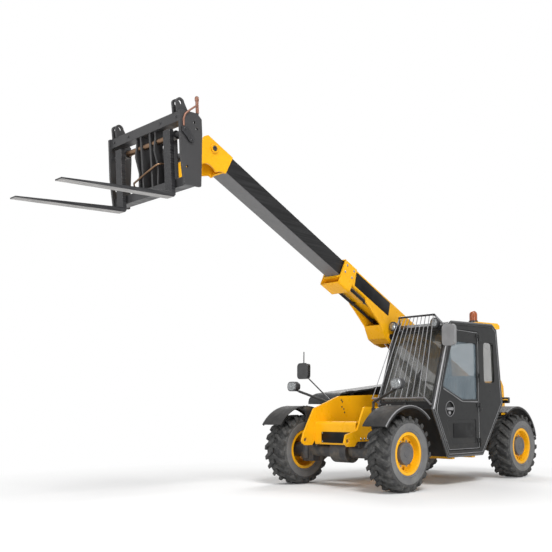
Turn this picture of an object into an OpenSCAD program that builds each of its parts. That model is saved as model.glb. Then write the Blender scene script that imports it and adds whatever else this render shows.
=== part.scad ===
// Telehandler: compact, two-stage boom, four-wheel steer, cab on the left.
// Millimetres. +X forward, +Y left (cab side), +Z up, floor at z = 0.

/* [Running gear] */
// distance between the axles
wheelbase = 2430; // [2200:5:2700]
// distance between the middles of the left and right tyres
track = 1540; // [1400:5:1700]
// tyre diameter over the lugs, as it stands on the floor
tyre_d = 810; // [740:2:880]
// tyre width over the lugs
tyre_w = 306; // [260:2:340]
// rim flange diameter
rim_d = 456; // [420:2:480]
// distance of each steering pivot from the middle of the machine
kingpin_y = 600; // [580:1:612]

/* [Boom] */
// boom pivot, behind the front axle
pivot_back = 2750; // [2700:5:2800]
// boom pivot above the floor
pivot_z = 1200; // [1180:2:1230]
// boom angle as in the photo
boom_angle = 25.5; // [15:0.5:40]
// boom middle to the right of the machine's middle
boom_right = 100; // [90:1:110]
// outer boom width
outer_w = 270; // [250:2:276]
// inner boom width
inner_w = 220; // [200:2:230]
// inner boom height
inner_h = 190; // [180:1:200]
// length of the inner boom that shows
reach = 1865; // [1800:5:1865]

/* [Carriage] */
// carriage width over its side plates
carriage_w = 1160; // [1000:5:1300]
// fork blade length
fork_len = 1020; // [900:5:1200]
// fork blade width
fork_w = 100; // [80:1:120]
// distance between the middles of the forks
fork_gap = 780; // [600:5:860]
// fork tilt below level
fork_tilt = 4.5; // [0:0.5:6]

/* [Cab] */
// outer left face of the cab
cab_left = 870; // [850:1:880]
// right face of the cab
cab_right = 60; // [60:1:90]
// cab wall and pillar depth
cab_wall = 45; // [35:1:55]
// underside of the cab
cab_low = 336; // [320:1:350]
// pane thickness
pane = 6; // [5:0.5:8]

/* [Hidden] */
$fn = 64;
// gap of a running pin, on the radius
run = 0.3;
axle_z = tyre_d / 2;
wheel_y = track / 2;
rear_x = -wheelbase;
boom_y = -boom_right;
px = -pivot_back;
// arch of the fenders over the tyres
fender_r = tyre_d / 2 + 106;
// steering lock, and how far a tyre then reaches along the machine from its axle
lock = 30;
tyre_sweep = (wheel_y - kingpin_y) * sin(lock) + tyre_d / 2 * cos(lock) + tyre_w / 2 * sin(lock);
// plates of the chassis, inner and outer face
right_in = -330;
right_out = -355;
left_in = 290;
left_out = 315;
tower_in = 340;
tower_out = 370;
// left rail beside the cab
rail_in = 20;
rail_out = 45;
// cross plate behind the cab
wall_x = rear_x + 290;
tail_x = -3060;
// tow hitch behind the tail
hitch = 70;
// boom, along and across, from the pivot
collar_0 = 2905;
collar_1 = 3115;
inner_top = 60;
inner_low = inner_top - inner_h;
inner_0 = collar_1 - 950;
inner_1 = collar_1 + reach;
outer_top = inner_top + 16;
outer_low = inner_low - 16;
// lift ram pins: on the chassis, and on the boom
ram_base = [-2350, 650];
ram_pin = [2000, -330];
ram_a = boom_angle;
ram_eye = [px + ram_pin[0] * cos(ram_a) - ram_pin[1] * sin(ram_a),
           pivot_z + ram_pin[0] * sin(ram_a) + ram_pin[1] * cos(ram_a)];
ram_vec = ram_eye - ram_base;
ram_len = norm(ram_vec);
ram_angle = atan2(ram_vec[1], ram_vec[0]);
// head pins, in the boom's own frame
tilt_base = [inner_1 + 230, -15];
tilt_pivot = [inner_1 + 472, -578];
tilt_lever = 170;
tilt_pin = tilt_pivot + tilt_lever * [cos(40), sin(40)];
tilt_vec = tilt_pin - tilt_base;
tilt_len = norm(tilt_vec);
tilt_angle = atan2(tilt_vec[1], tilt_vec[0]);
// carriage pivot in the machine's frame
car_x = px + tilt_pivot[0] * cos(boom_angle) - tilt_pivot[1] * sin(boom_angle);
car_z = pivot_z + tilt_pivot[0] * sin(boom_angle) + tilt_pivot[1] * cos(boom_angle);
heel_x = 262;
heel_z = -278;
tip_x = car_x + (heel_x + fork_len) * cos(fork_tilt) + heel_z * sin(fork_tilt);
// floor point under the middle of the machine's length
mid_x = (tip_x + tail_x - hitch) / 2;
// cab side outline
cab_side = [[-508, 875], [-853, 1862], [-900, 1900], [-1817, 1936], [-1915, 1872],
            [-2028, 945], [-1545, cab_low], [-800, cab_low]];
door_rear = -1480;
hinge_y = cab_left + 12;
hinge_z = [480, 900, 1260, 1740];
// doorway outline: 6 mm larger than the door
door_side = [[-826, 400], [-570, 850], [-575, 905], [-872, 1822], [door_rear, 1822],
             [door_rear, 400]];
door_win = [[-912, 1680], [-700, 1135], [-1106, 985], [-1440, 985], [-1440, 1680]];
quarter_win = [[-1594, 1195], [-1861, 1195], [-1838, 1706], [-1594, 1706]];
// windscreen slope
ws_low = [-508, 875];
ws_top = [-853, 1862];
ws_len = norm(ws_top - ws_low);
ws_lean = atan2(ws_low[0] - ws_top[0], ws_top[1] - ws_low[1]);
// engine cover slope along the machine
hood_drop = 6.6;

// which sub-part to draw

yellow = [0.93, 0.68, 0.10];
dark = [0.20, 0.21, 0.22];
steel = [0.45, 0.46, 0.47];
glass = [0.55, 0.66, 0.70, 0.35];

// helpers

// a side outline (x, z) as a plate from y0 to y1
module side_plate(y0, y1) {
    translate([0, y1, 0]) rotate([90, 0, 0]) linear_extrude(y1 - y0) children();
}

// a front outline (y, z) as a plate from x0 to x1
module front_plate(x0, x1) {
    translate([x0, 0, 0]) rotate([90, 0, 90]) linear_extrude(x1 - x0) children();
}

// box by its two corners
module span(a, b) {
    translate(a) cube(b - a);
}

// round bar along y
module bar_y(x, z, r, y0, y1) {
    translate([x, y1, z]) rotate([90, 0, 0]) cylinder(r = r, h = y1 - y0);
}

// round bar between two points
module bar(a, b, r) {
    v = b - a;
    translate(a) rotate([0, acos(v[2] / norm(v)), atan2(v[1], v[0])]) cylinder(r = r, h = norm(v));
}

// rectangle with round corners, by two corners
module rrect(a, b, r) {
    translate([a[0] + r, a[1]]) square([b[0] - a[0] - 2 * r, b[1] - a[1]]);
    translate([a[0], a[1] + r]) square([b[0] - a[0], b[1] - a[1] - 2 * r]);
    for (x = [a[0] + r, b[0] - r])
        for (y = [a[1] + r, b[1] - r])
            translate([x, y]) circle(r = r);
}

// an outline with its corners rounded to r
function rounded(p, r) = [for (i = [0:len(p) - 1])
    let (a = p[(i + len(p) - 1) % len(p)], b = p[i], c = p[(i + 1) % len(p)],
         u = (a - b) / norm(a - b), v = (c - b) / norm(c - b), half = acos(u * v) / 2,
         m = b + (u + v) / norm(u + v) * r / sin(half),
          s = b + u * r / tan(half) - m, e = b + v * r / tan(half) - m,
         a0 = atan2(s[1], s[0]), turn = atan2(s[0] * e[1] - s[1] * e[0], s * e))
    for (k = [0:4]) m + r * [cos(a0 + turn * k / 4), sin(a0 + turn * k / 4)]];

// frame of the boom: x along it, z across it, y = 0 in its middle
module in_boom() {
    translate([px, boom_y, pivot_z]) rotate([0, -boom_angle, 0]) children();
}

// frame of the carriage: origin on its pivot
module in_carriage() {
    translate([car_x, boom_y, car_z]) rotate([0, fork_tilt, 0]) children();
}

// frame of the lift ram: x along it from the chassis pin
module in_lift_ram() {
    translate([ram_base[0], boom_y, ram_base[1]]) rotate([0, -ram_angle, 0]) children();
}

// frame of the tilt ram, within the boom
module in_tilt_ram() {
    in_boom() translate([tilt_base[0], 0, tilt_base[1]]) rotate([0, -tilt_angle, 0]) children();
}

// frame of the windscreen: z up along it, x out of it
module in_screen() {
    translate([ws_low[0], 0, ws_low[1]]) rotate([0, -ws_lean, 0]) children();
}

// place of a wheel: side 1 is left, -1 right; y outwards
module at_wheel(x, side) {
    translate([x, 0, axle_z]) mirror([0, side < 0 ? 1 : 0, 0]) children();
}

// frame of the engine cover: x along its hinge, forwards
hood_x = -330;
// the cover clears the fender under it
arch_z = axle_z + fender_r + 24;
hood_z = arch_z + 135;
// foot of the cover's hinge brackets
lap_z = 845;
// hinge line outside the chassis plate
hood_gap = 13;
module in_hood() {
    translate([hood_x, right_out - hood_gap, hood_z]) rotate([0, hood_drop, 0]) children();
}

// chassis

module chassis_frame() color(yellow) {
    union() {
        union() {
            difference() {
                union() {
                    side_plate(right_out, right_in) right_outline();
                    side_plate(left_in, left_out) left_outline();
                }
                // lashing eyes
                bar_y(302, 532, 25, -400, 400);
            }
            side_plate(rail_in, rail_out) polygon([[-440, cab_low], [-440, 600], [wall_x, 600],
                                                   [wall_x, cab_low]]);
            side_plate(tower_in, tower_out) tower_outline();
            // cross plates in front of the cab and behind it
            span([-465, rail_out + 15, 400], [-440, left_in, 880]);
            span([wall_x, right_in, cab_low], [wall_x + 25, tower_out, 560]);
            // belly
            span([wall_x, right_in, cab_low], [-340, rail_out, cab_low + 14]);
            span([-465, rail_in, cab_low], [-440, left_out, 420]);
            // front bumper box
            front_bumper();
            // tail plate between the towers
            span([-2960, right_in, 560], [-2935, tower_in, 900]);
            // outriggers under the cab
            for (x = [-1000, -1440]) span([x, -200, 300], [x + 60, 820, cab_low]);
            // lift ram bracket
            for (s = [-1, 1]) translate([0, boom_y + s * 85, 0]) side_plate(-10, 10) ram_ear();
            // boom pivot pin and its bosses
            bar_y(px, pivot_z, 30, right_out, tower_out);
            bar_y(px, pivot_z, 62, tower_out, tower_out + 16);
            bar_y(px, pivot_z, 62, right_out - 16, right_out);
            // lift ram pin
            bar_y(ram_base[0], ram_base[1], 25, boom_y - 95, boom_y + 95);
        }
        // hinge of the engine cover
        in_hood() hood_hinge(0);
        // wings that carry the rear lamps
        span([-2610, tower_out - 5, 1000], [-2500, 620, 1014]);
        span([-2610, -620, 1000], [-2500, right_out + 5, 1014]);
    }
}

module right_outline() difference() {
    polygon(rounded([[357, 506], [300, 468], [190, 468], [150, 520], [-160, 520], [-330, cab_low],
             [wall_x, cab_low], [rear_x + 160, 530], [rear_x - 210, 530], [-2960, 560], [-2960, 900],
             [-2930, 1200], [-2870, 1280], [-2700, 1290], [-2640, 1250], [-2480, 1060],
             [-2200, 1040], [-948, 1060], [-257, 1032], [163, 885], [330, 600]], 24));
    translate([px, pivot_z]) circle(r = 30);
}

module left_outline() polygon(rounded([[357, 506], [300, 468], [190, 468], [150, 520], [-160, 520],
    [-330, 400], [-465, 400], [-465, 880], [-205, 902], [27, 900], [148, 640], [330, 600]], 24));

module tower_outline() difference() {
    polygon(rounded([[wall_x, cab_low], [rear_x + 160, 530], [rear_x - 210, 530], [-2960, 560], [-2960, 900],
             [-2930, 1200], [-2870, 1280], [-2700, 1290], [-2640, 1250], [-2420, 800],
             [wall_x + 25, 560], [wall_x + 25, cab_low]], 8));
    translate([px, pivot_z]) circle(r = 30);
}

module front_bumper() {
    translate([0, right_in, 0]) side_plate(0, left_in - right_in) difference() {
        rrect([-45, 465], [150, 738], 40);
        // folded plate, open below and behind
        rrect([-33, 400], [138, 726], 28);
        translate([-46, 400]) square([150, 170]);
    }
}

module ram_ear() difference() {
    union() {
        polygon([[wall_x + 25, 440], [wall_x + 25, 560], [-2320, 704],
                 [-2400, 640], [-2340, 592], [wall_x - 50, 440]]);
        translate(ram_base) circle(r = 60);
    }
    translate(ram_base) circle(r = 25);
}

module counterweight() color(dark) {
    side_plate(right_in, tower_in)
        polygon([[-2935, 560], [-2935, 900], [-2700, 900], [-2640, 800], [-2640, 560]]);
    // block behind the tail plate
    translate([0, 0, 470]) linear_extrude(420) rrect([tail_x, -480], [-2960, 480], 45);
    // tow hitch
    for (z = [560, 640]) difference() {
        translate([0, 0, z]) linear_extrude(20) rrect([tail_x - hitch, -55], [tail_x + 10, 55], 20);
        translate([tail_x - 35, 0, z - 1]) cylinder(r = 16, h = 22);
    }
}

// axles

module axle(x, ram_side) {
    difference() {
        union() {
            translate([x, 0, axle_z]) {
                bar_y(0, 0, 75, -480, 480);
                bar_y(0, 0, 130, -120, 120);
                // steering ram, with its rods
                translate([ram_side * 135, 0, 20]) {
                    bar_y(0, 0, 32, -230, 230);
                    bar_y(0, 0, 16, -490, 490);
                }
                for (s = [-1, 1]) translate([ram_side * 100, s * 150, 20]) cube([70, 40, 60], center = true);
                // yokes round the knuckles
                for (s = [-1, 1]) {
                    span([-60, s * 480 - 35, -130], [60, s * 480 + 35, 130]);
                    for (z = [-130, 104]) {
                        translate([0, s * 500, z]) mirror([0, s < 0 ? 1 : 0, 0])
                            span([-55, 0, 0], [55, kingpin_y - 500, 26]);
                        translate([0, s * kingpin_y, z]) cylinder(r = 55, h = 26);
                    }
                }
            }
        }
        for (s = [-1, 1]) translate([x, s * kingpin_y, axle_z - 200]) cylinder(r = 24 + run, h = 400);
    }
}

module front_axle() color(dark) {
    axle(0, -1);
    span([-110, right_out, axle_z + 50], [110, right_in, 520]);
    span([-110, left_in, axle_z + 50], [110, left_out, 520]);
}

module rear_axle() color(dark) {
    axle(rear_x, 1);
    span([rear_x - 110, right_out, axle_z + 50], [rear_x + 110, right_in, 530]);
    span([rear_x - 110, tower_in, axle_z + 50], [rear_x + 110, tower_out, 530]);
}

// knuckle: y outwards from the machine's middle
module knuckle(ram_side) difference() {
    union() {
        translate([0, kingpin_y, -102]) cylinder(r = 70, h = 204);
        bar_y(0, 0, 88, kingpin_y, 800);
        bar_y(0, 0, 60, 800, 832);
        // kingpin
        translate([0, kingpin_y, -138]) cylinder(r = 24, h = 276);
        // fender bracket over the yoke
        translate([0, kingpin_y - 8, 131]) cylinder(r = 34, h = 14);
        span([-45, 580, 140], [45, 592, fender_r - 31]);
        intersection() {
            span([-45, 580, fender_r - 41], [45, 660, fender_r + 9]);
            bar_y(0, 0, fender_r - 8.1, 500, 700);
        }
        // steering arm
        mirror([ram_side < 0 ? 1 : 0, 0, 0]) {
            span([20, 572, -60], [150, 600, -30]);
            translate([135, 586, -60]) cylinder(r = 14, h = 96);
        }
    }
    for (z = [-131, 103]) translate([0, kingpin_y, z]) difference() {
        cylinder(r = 90, h = 28);
        translate([0, 0, -1]) cylinder(r = 24, h = 30);
    }
}

module knuckle_fl() color(dark) at_wheel(0, 1) knuckle(-1);
module knuckle_fr() color(dark) at_wheel(0, -1) knuckle(-1);
module knuckle_rl() color(dark) at_wheel(rear_x, 1) knuckle(1);
module knuckle_rr() color(dark) at_wheel(rear_x, -1) knuckle(1);

// fender: an arc from a0 to a1 about the hub, with a turned-down outer lip
lip = 30;
module fender(r, a0, a1, y0, y1) {
    rotate([90, 0, 0]) translate([0, 0, -y1]) rotate([0, 0, a0])
        rotate_extrude(angle = a1 - a0)
            polygon([[r - lip, 0], [r, 0], [r, y1 - y0], [r - 8, y1 - y0], [r - 8, 7], [r - lip, 7]]);
}

module front_fender() fender(fender_r, 35, 134, 618, 940);
module rear_fender() {
    fender(fender_r, 58, 167, 618, 860);
}

module fender_fl() color(dark) at_wheel(0, 1) front_fender();
module fender_fr() color(dark) at_wheel(0, -1) front_fender();
module fender_rl() color(dark) at_wheel(rear_x, 1) rear_fender();
module fender_rr() color(dark) at_wheel(rear_x, -1) rear_fender();

// wheels

// turned carcass, and lugs that lean from each shoulder to the middle of the tread
lugs = 20;
lug_h = 28;
lug_reach = 72;
lug_w = 44;

module tyre() {
    r = tyre_d / 2;
    w = tyre_w / 2;
    b = rim_d / 2 - 22;
    seat = w - 30;
    top = sqrt(r * r - lug_reach * lug_reach);
    foot = atan2(lug_reach, top);
    translate([0, wheel_y, 0]) {
        rotate([90, 0, 0]) rotate_extrude()
            polygon([[b, -seat], [b + 23, -seat], [b + 24, -w + 14], [r - 90, -w], [r - lug_h - 10, -w + 24],
                     [r - lug_h, -w + 60], [r - lug_h, w - 60], [r - lug_h - 10, w - 24], [r - 90, w],
                     [b + 24, w - 14], [b + 23, seat], [b, seat]]);
        for (i = [0:lugs - 1]) for (side = [0, 1])
            rotate([0, 180 - foot + (i + side / 2) * 360 / lugs, 0]) mirror([0, side, 0]) lug(r, w, top);
    }
}

// one lug: from the middle of the tread to the shoulder, on the +z side
module lug(r, w, top) translate([0, 0, r - 78]) linear_extrude(top - r + 78)
    polygon([[-lug_reach, 3], [-lug_reach + lug_w, 3], [0, 50],
             [lug_reach, w - 3], [lug_reach - lug_w, w - 3],
             [-lug_w, 50]]);

module rim() difference() {
    b = rim_d / 2 - 22;
    h = tyre_w / 2 - 30;
    translate([0, wheel_y, 0]) rotate([-90, 0, 0]) rotate_extrude()
        polygon([[b - 10, -h - 12], [b + 22, -h - 12], [b + 22, -h], [b, -h], [b, h], [b + 22, h],
                 [b + 22, h + 12], [b - 10, h + 12], [b - 24, 66], [110, 66], [110, 108], [96, 114],
                 [0, 114], [0, 66], [60 + run, 64], [60 + run, 34], [150, 34], [b - 36, 24], [b - 12, -20]]);
    // hand holes
    for (i = [0:7]) rotate([0, i * 45, 0]) translate([0, wheel_y, 154]) rotate([-90, 0, 0])
        cylinder(r = 20, h = 100);
}

module tyre_fl() color(dark) at_wheel(0, 1) tyre();
module tyre_fr() color(dark) at_wheel(0, -1) tyre();
module tyre_rl() color(dark) at_wheel(rear_x, 1) tyre();
module tyre_rr() color(dark) at_wheel(rear_x, -1) tyre();
module rim_fl() color(yellow) at_wheel(0, 1) rim();
module rim_fr() color(yellow) at_wheel(0, -1) rim();
module rim_rl() color(yellow) at_wheel(rear_x, 1) rim();
module rim_rr() color(yellow) at_wheel(rear_x, -1) rim();

// engine side

bay_0 = rear_x + tyre_sweep + 15;
bay_1 = -580;
bay_out = -900;
bay_top = arch_z - 140;
module engine_bay() color(dark) difference() {
    side_plate(bay_out, right_out) polygon([[bay_0, 480], [bay_0, bay_top], [bay_1, bay_top], [bay_1, 560],
                                            [bay_1 - 160, 420], [bay_0 + 120, 420]]);
    span([bay_0 + 30, bay_out + 30, 450], [bay_1 - 170, right_out - 30, bay_top + 100]);
}

module engine_block() color(steel) span([rear_x + 680, -780, 450], [-1000, -450, hood_z - 145]);

// cover: hinged along its inner top edge
module engine_cover() color(dark) {
    cover_shell();
    in_hood() hood_hinge(1);
}

// cross section of the cover, inset by d: round outer shoulder, open to the chassis
hood_wide = 526;
hood_wall = 22;
shoulder = 140;
module hood_section(d) polygon(concat([[d > 0 ? 5 : 0, -d], [d > 0 ? 5 : 0, -700], [-hood_wide + d, -700]],
    [for (k = [0:6]) [-hood_wide + shoulder + (shoulder - d) * cos(180 - 15 * k),
                      -shoulder + (shoulder - d) * sin(180 - 15 * k)]]));

module cover_shell() difference() {
    hood_outer();
    in_hood() front_plate(rear_x + 875, 14) hood_section(hood_wall);
    // louvres
    for (k = [0:4]) in_hood() span([rear_x + 1000, -600, -180 - k * 34], [-830, -480, -164 - k * 34]);
    // cut square on the bay, and clear of the hinges
    span([-3000, -1000, 0], [500, right_out - 5, bay_top]);
    span([-620, -1000, 0], [500, right_out - 5, arch_z]);
    for (x = hinge_x) in_hood() translate([x + 0.5, 0, 0]) rotate([0, 90, 0]) cylinder(r = 14, h = 59.5);
}

// hinge barrels of the cover: side 0 on the chassis, 1 on the cover
hinge_x = [rear_x + 1130, (rear_x + 910) / 2, -220];
module hood_hinge(side) for (x = hinge_x) {
    translate([x + (side == 0 ? 1 : 61), 0, 0]) rotate([0, 90, 0]) cylinder(r = 10, h = 58);
    // brackets down to the chassis plate, which they lap
    if (side == 0) span([x + 1, hood_gap - 11, lap_z - hood_z], [x + 59, hood_gap + 5, 4]);
}

module hood_outer() intersection() {
    in_hood() front_plate(rear_x + 630, 40) hood_section(0);
    in_hood() side_plate(-600, 10) rrect([rear_x + 530, -900], [40, 0], 80);
    side_plate(bay_out, right_out - hood_gap)
        polygon([[bay_0, bay_top], [bay_0, hood_z + 325], [-200, hood_z + 325], [-200, arch_z],
                 [-600, arch_z], [-600, bay_top]]);
}

// cab

function inset(p, d) = [for (i = [0:len(p) - 1])
    let (a = p[(i + len(p) - 1) % len(p)], b = p[i], c = p[(i + 1) % len(p)],
         u = (b - a) / norm(b - a), v = (c - b) / norm(c - b),
         n = [-u[1], u[0]], m = [-v[1], v[0]],
         q = b + n * d, w = b + m * d,
         k = ((w[0] - q[0]) * v[1] - (w[1] - q[1]) * v[0]) / (u[0] * v[1] - u[1] * v[0]))
    q + u * k];

module cab_frame() color(dark) {
    cab_shell();
    for (z = hinge_z) {
        span([door_rear - 60, cab_left, z - 50], [door_rear, cab_left + 8, z - 0.5]);
        translate([door_rear, hinge_y, z - 50]) cylinder(r = 11, h = 49.5);
    }
}

module cab_shell() difference() {
    side_plate(cab_right, cab_left) polygon(cab_side);
    side_plate(cab_right + cab_wall, cab_left - cab_wall) polygon(inset(cab_side, cab_wall));
    // doorway and quarter window
    side_plate(cab_left - cab_wall - 1, cab_left + 1) polygon(rounded(door_side, 28));
    side_plate(cab_left - cab_wall - 1, cab_left + 1) polygon(rounded(quarter_win, 50));
    right_opening();
    screen_opening(100);
    rear_opening();
    roof_opening();
}

module right_opening() side_plate(cab_right - 1, cab_right + cab_wall + 1)
    polygon(rounded([[-920, 1780], [-640, 980], [-1900, 980], [-1850, 1780]], 40));
module screen_opening(t) in_screen() translate([-t / 2, cab_right + 45, 90])
    cube([t, cab_left - cab_right - 90, ws_len - 150]);
module rear_opening() front_plate(-2100, -1840) rrect([cab_right + 80, 1080], [cab_left - 80, 1740], 40);
module roof_opening() translate([0, 0, 1850]) linear_extrude(150)
    rrect([-1450, cab_right + 80], [-960, cab_left - 80], 40);

module cab_glass() color(glass) {
    in_screen() translate([-20, cab_right + 45, 90]) cube([pane, cab_left - cab_right - 90, ws_len - 150]);
    intersection() {
        right_opening();
        span([-3000, cab_right + 10, 0], [0, cab_right + 10 + pane, 3000]);
    }
    side_plate(cab_left - 20, cab_left - 20 + pane) polygon(rounded(quarter_win, 50));
    // rear pane, in the slope of the rear wall
    intersection() {
        rear_opening();
        side_plate(cab_right, cab_left)
            polygon([[-1915 + 20, 1872], [-2028 + 20, 945], [-2028 + 20 + pane, 945],
                                                 [-1915 + 20 + pane, 1872]]);
    }
    // roof pane, in the slope of the roof
    intersection() {
        roof_opening();
        side_plate(cab_right, cab_left) polygon([[-900, 1880], [-1817, 1916], [-1817, 1916 + pane],
                                                 [-900, 1880 + pane]]);
    }
}

module cab_roof() color(yellow) difference() {
    side_plate(cab_right + 10, cab_left - 4)
        polygon([[-1480, 1922.8], [-1500, 1950], [-1960, 1968], [-2010, 1940],
                 [-2010, 1900], [-1960, 1890], [-1870, 1901.4], [-1817, 1936]]);
}

module screen_guard() color(dark) in_screen() {
    $fn = 12;
    top = ws_len + 30;
    // top bar with its bent ends, bottom bar and rods
    bar([226, 290, top], [226, 800, top], 12);
    bar([226, 290, top], [18, 165, top - 60], 12);
    bar([226, 800, top], [18, 835, top - 60], 12);
    for (y = [165, 835]) translate([0.3, y, top - 60]) rotate([0, 90, 0]) cylinder(r = 14, h = 26);
    bar([143, 72, 82], [143, 835, 82], 10);
    for (y = [90, 835]) {
        bar([143, y, 82], [18, y, 55], 10);
        translate([0.3, y, 55]) rotate([0, 90, 0]) cylinder(r = 14, h = 26);
    }
    for (i = [0:9]) bar([226, 296 + i * 55, top], [143, 76 + i * 83, 82], 5);
}

module seat() color(dark) {
    front_plate(-1620, -1170) rrect([230, 600], [720, 700], 40);
    span([-1450, 300, cab_low + cab_wall], [-1230, 650, 620]);
    translate([-1600, 0, 640]) rotate([0, -12, 0]) front_plate(-60, 60) rrect([240, 0], [710, 680], 60);
}

module steering_console() color(dark) {
    side_plate(250, 700)
        polygon([[-860, cab_low + cab_wall], [-980, cab_low + cab_wall], [-900, 900], [-800, 960],
                                  [-660, 880]]);
    bar([-840, 475, 900], [-1000, 475, 1080], 22);
    translate([-1000, 475, 1080]) rotate([0, -41.6, 0]) {
        rotate_extrude() translate([180, 0]) circle(r = 15, $fn = 24);
        for (a = [0, 120, 240]) rotate([0, 0, a]) bar([0, 0, 0], [175, 0, 0], 10);
        cylinder(r = 40, h = 20, center = true);
    }
}

module beacon() color([0.95, 0.5, 0.08]) translate([-1620, 720, 1957.2]) {
    cylinder(r = 60, h = 26);
    cylinder(r = 50, h = 105);
    translate([0, 0, 105]) sphere(r = 50);
}

module lamps() color(dark) {
    // work lamps on the cab front
    for (y = [112, 730]) in_screen() {
        translate([0.3, y - 24, ws_len - 52]) cube([30, 48, 46]);
        translate([30, y, ws_len + 12]) rotate([0, ws_lean, 0]) lamp_bowl(60, 84);
    }
    // head lamps on their stalks
    head_lamp(left_out, 1);
    head_lamp(-right_out, -1);
    // rear lamps on their wings
    rear_lamp(1);
    rear_lamp(-1);
}

// round lamp looking along x: a bowl, with its bezel and lens
module lamp_bowl(r, d) rotate([0, 90, 0]) rotate_extrude()
    polygon([[0, 0], [r * 0.55, 0], [r * 0.85, d * 0.3], [r * 0.95, d * 0.7], [r, d * 0.72], [r, d - 6],
             [r - 7, d - 6], [r - 14, d], [0, d]]);

lamp_z = axle_z + fender_r + 234;
module head_lamp(y, side) mirror([0, side < 0 ? 1 : 0, 0]) {
    span([-145, y, 850], [-95, y + 20, 890]);
    bar([-120, y + 10, 880], [-120, y + 10, 960], 10);
    bar([-120, y + 10, 955], [20, 800, lamp_z - 40], 10);
    translate([0, 800, lamp_z]) {
        front_plate(20, 75) rrect([-76, -58], [76, 58], 50);
        front_plate(-15, 20) rrect([-58, -44], [58, 44], 38);
    }
}

module rear_lamp(side) mirror([0, side < 0 ? 1 : 0, 0]) translate([-2610.3, 0, 0]) {
    front_plate(-50, 0) rrect([500, 960], [620, 1040], 14);
}

mirror_z = hood_z + 175;
module mirrors() color(dark) {
    // left, on the cab's front corner
    in_screen() translate([0.5, cab_left - 12, ws_len - 120]) rotate([0, 90, 0]) cylinder(r = 10, h = 80);
    translate([-738, 0, 0]) front_plate(-25, 25) rrect([860, 1600], [1030, 1850], 45);
    // right, on a stalk
    span([-195, right_out - 20, 850], [-155, right_out, 890]);
    bar([-175, right_out - 10, 880], [-175, right_out - 10, 965], 9);
    bar([-175, right_out - 10, 960], [-215, -820, mirror_z + 20], 9);
    translate([-215, 0, mirror_z]) front_plate(-25, 25) rrect([-980, 0], [-795, 200], 45);
    // width marker
    bar([-215, -887, mirror_z + 190], [-215, -887, mirror_z + 340], 7);
}

// door

module door_panel() color(dark) {
    difference() {
        side_plate(cab_left - cab_wall, cab_left) polygon(rounded(inset(door_side, 6), 22));
        side_plate(cab_left - cab_wall - 1, cab_left + 1) polygon(rounded(door_win, 30));
        // round handle recess, and the pressed lower panel
        bar_y(-846, 880, 88, cab_left - 16, cab_left + 1);
        side_plate(cab_left - 6, cab_left + 1) polygon(rounded([[-880, 470], [-1400, 470], [-1400, 760],
                                                               [-760, 760]], 40));
    }
    span([-900, cab_left - 18, 868], [-792, cab_left - 4, 892]);
    for (z = hinge_z) {
        span([door_rear, cab_left, z], [door_rear + 60, cab_left + 8, z + 50]);
        translate([door_rear, hinge_y, z]) cylinder(r = 11, h = 50);
    }
}

module door_glass() color(glass)
    side_plate(cab_left - 20, cab_left - 20 + pane) polygon(rounded(door_win, 30));

// boom

module outer_boom() color(yellow) in_boom() {
    outer_tube();
    // wear pads in the mouth of the collar
    translate([collar_1 - 100, 0, 0]) pads(inner_w / 2 + run, inner_low - run, inner_top + run,
                                           outer_w / 2 - 9, outer_low + 9, outer_top - 9);
}

// four wear pads between an inner and an outer section, given by half width, low and top
module pads(w0, low0, top0, w1, low1, top1) {
    for (s = [-1, 1]) mirror([0, s < 0 ? 1 : 0, 0]) {
        span([0, w0, low0 + 40], [80, w1, top0 - 40]);
        span([0, w0 - 90, low1], [80, w0 - 20, low0]);
        span([0, w0 - 90, top0], [80, w0 - 20, top1]);
    }
}

module outer_tube() difference() {
    union() {
        front_plate(-130, collar_1) rrect([-outer_w / 2, outer_low], [outer_w / 2, outer_top], 24);
        // collar
        front_plate(collar_0, collar_1) rrect([-150, -245], [150, outer_top + 4], 26);
        // side plates of the ram bracket
        for (s = [-1, 1]) translate([0, s * (outer_w / 2 - 10), 0]) side_plate(-10, 10) bracket_outline();
        // closing plates of the bracket, and the bosses of its pin
        side_plate(-outer_w / 2 + 5, outer_w / 2 - 5) polygon([[1962, -400], [2090, -400], [2230, -290],
                                                               [2222, -280], [2086, -388], [1962, -388]]);
        for (s = [-1, 1]) bar_y(ram_pin[0], ram_pin[1], 52, s * (outer_w / 2) - 8, s * (outer_w / 2) + 8);
        // pivot tube
        bar_y(0, 0, 70, right_in + 5 - boom_y, tower_in - 5 - boom_y);
    }
    // room for the inner boom
    span([70, -outer_w / 2 + 10, outer_low + 10], [collar_1 + 1, outer_w / 2 - 10, outer_top - 10]);
    // hose box under the collar, open at the front
    span([collar_0 + 14, -136, -231], [collar_1 + 1, 136, outer_low - 14]);
    bar_y(0, 0, 30 + run, -600, 600);
}

module bracket_outline() polygon(rounded([[1480, outer_low + 20], [1820, -370], [1960, -400], [2090, -400],
    [2230, -290], [2480, -210], [2820, outer_low + 20]], 30));

module inner_boom() color(dark) in_boom() {
    inner_tube();
    // wear pads on its tail
    translate([inner_0 + 20, 0, 0]) pads(inner_w / 2 - 1, inner_low + 1, inner_top - 1,
                                         outer_w / 2 - 10 - run, outer_low + 10 + run, outer_top - 10 - run);
}

module inner_tube() difference() {
    front_plate(inner_0, inner_1) rrect([-inner_w / 2, inner_low], [inner_w / 2, inner_top], 16);
    span([inner_0 - 1, -inner_w / 2 + 10, inner_low + 10], [inner_1 - 20, inner_w / 2 - 10, inner_top - 10]);
}

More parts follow.
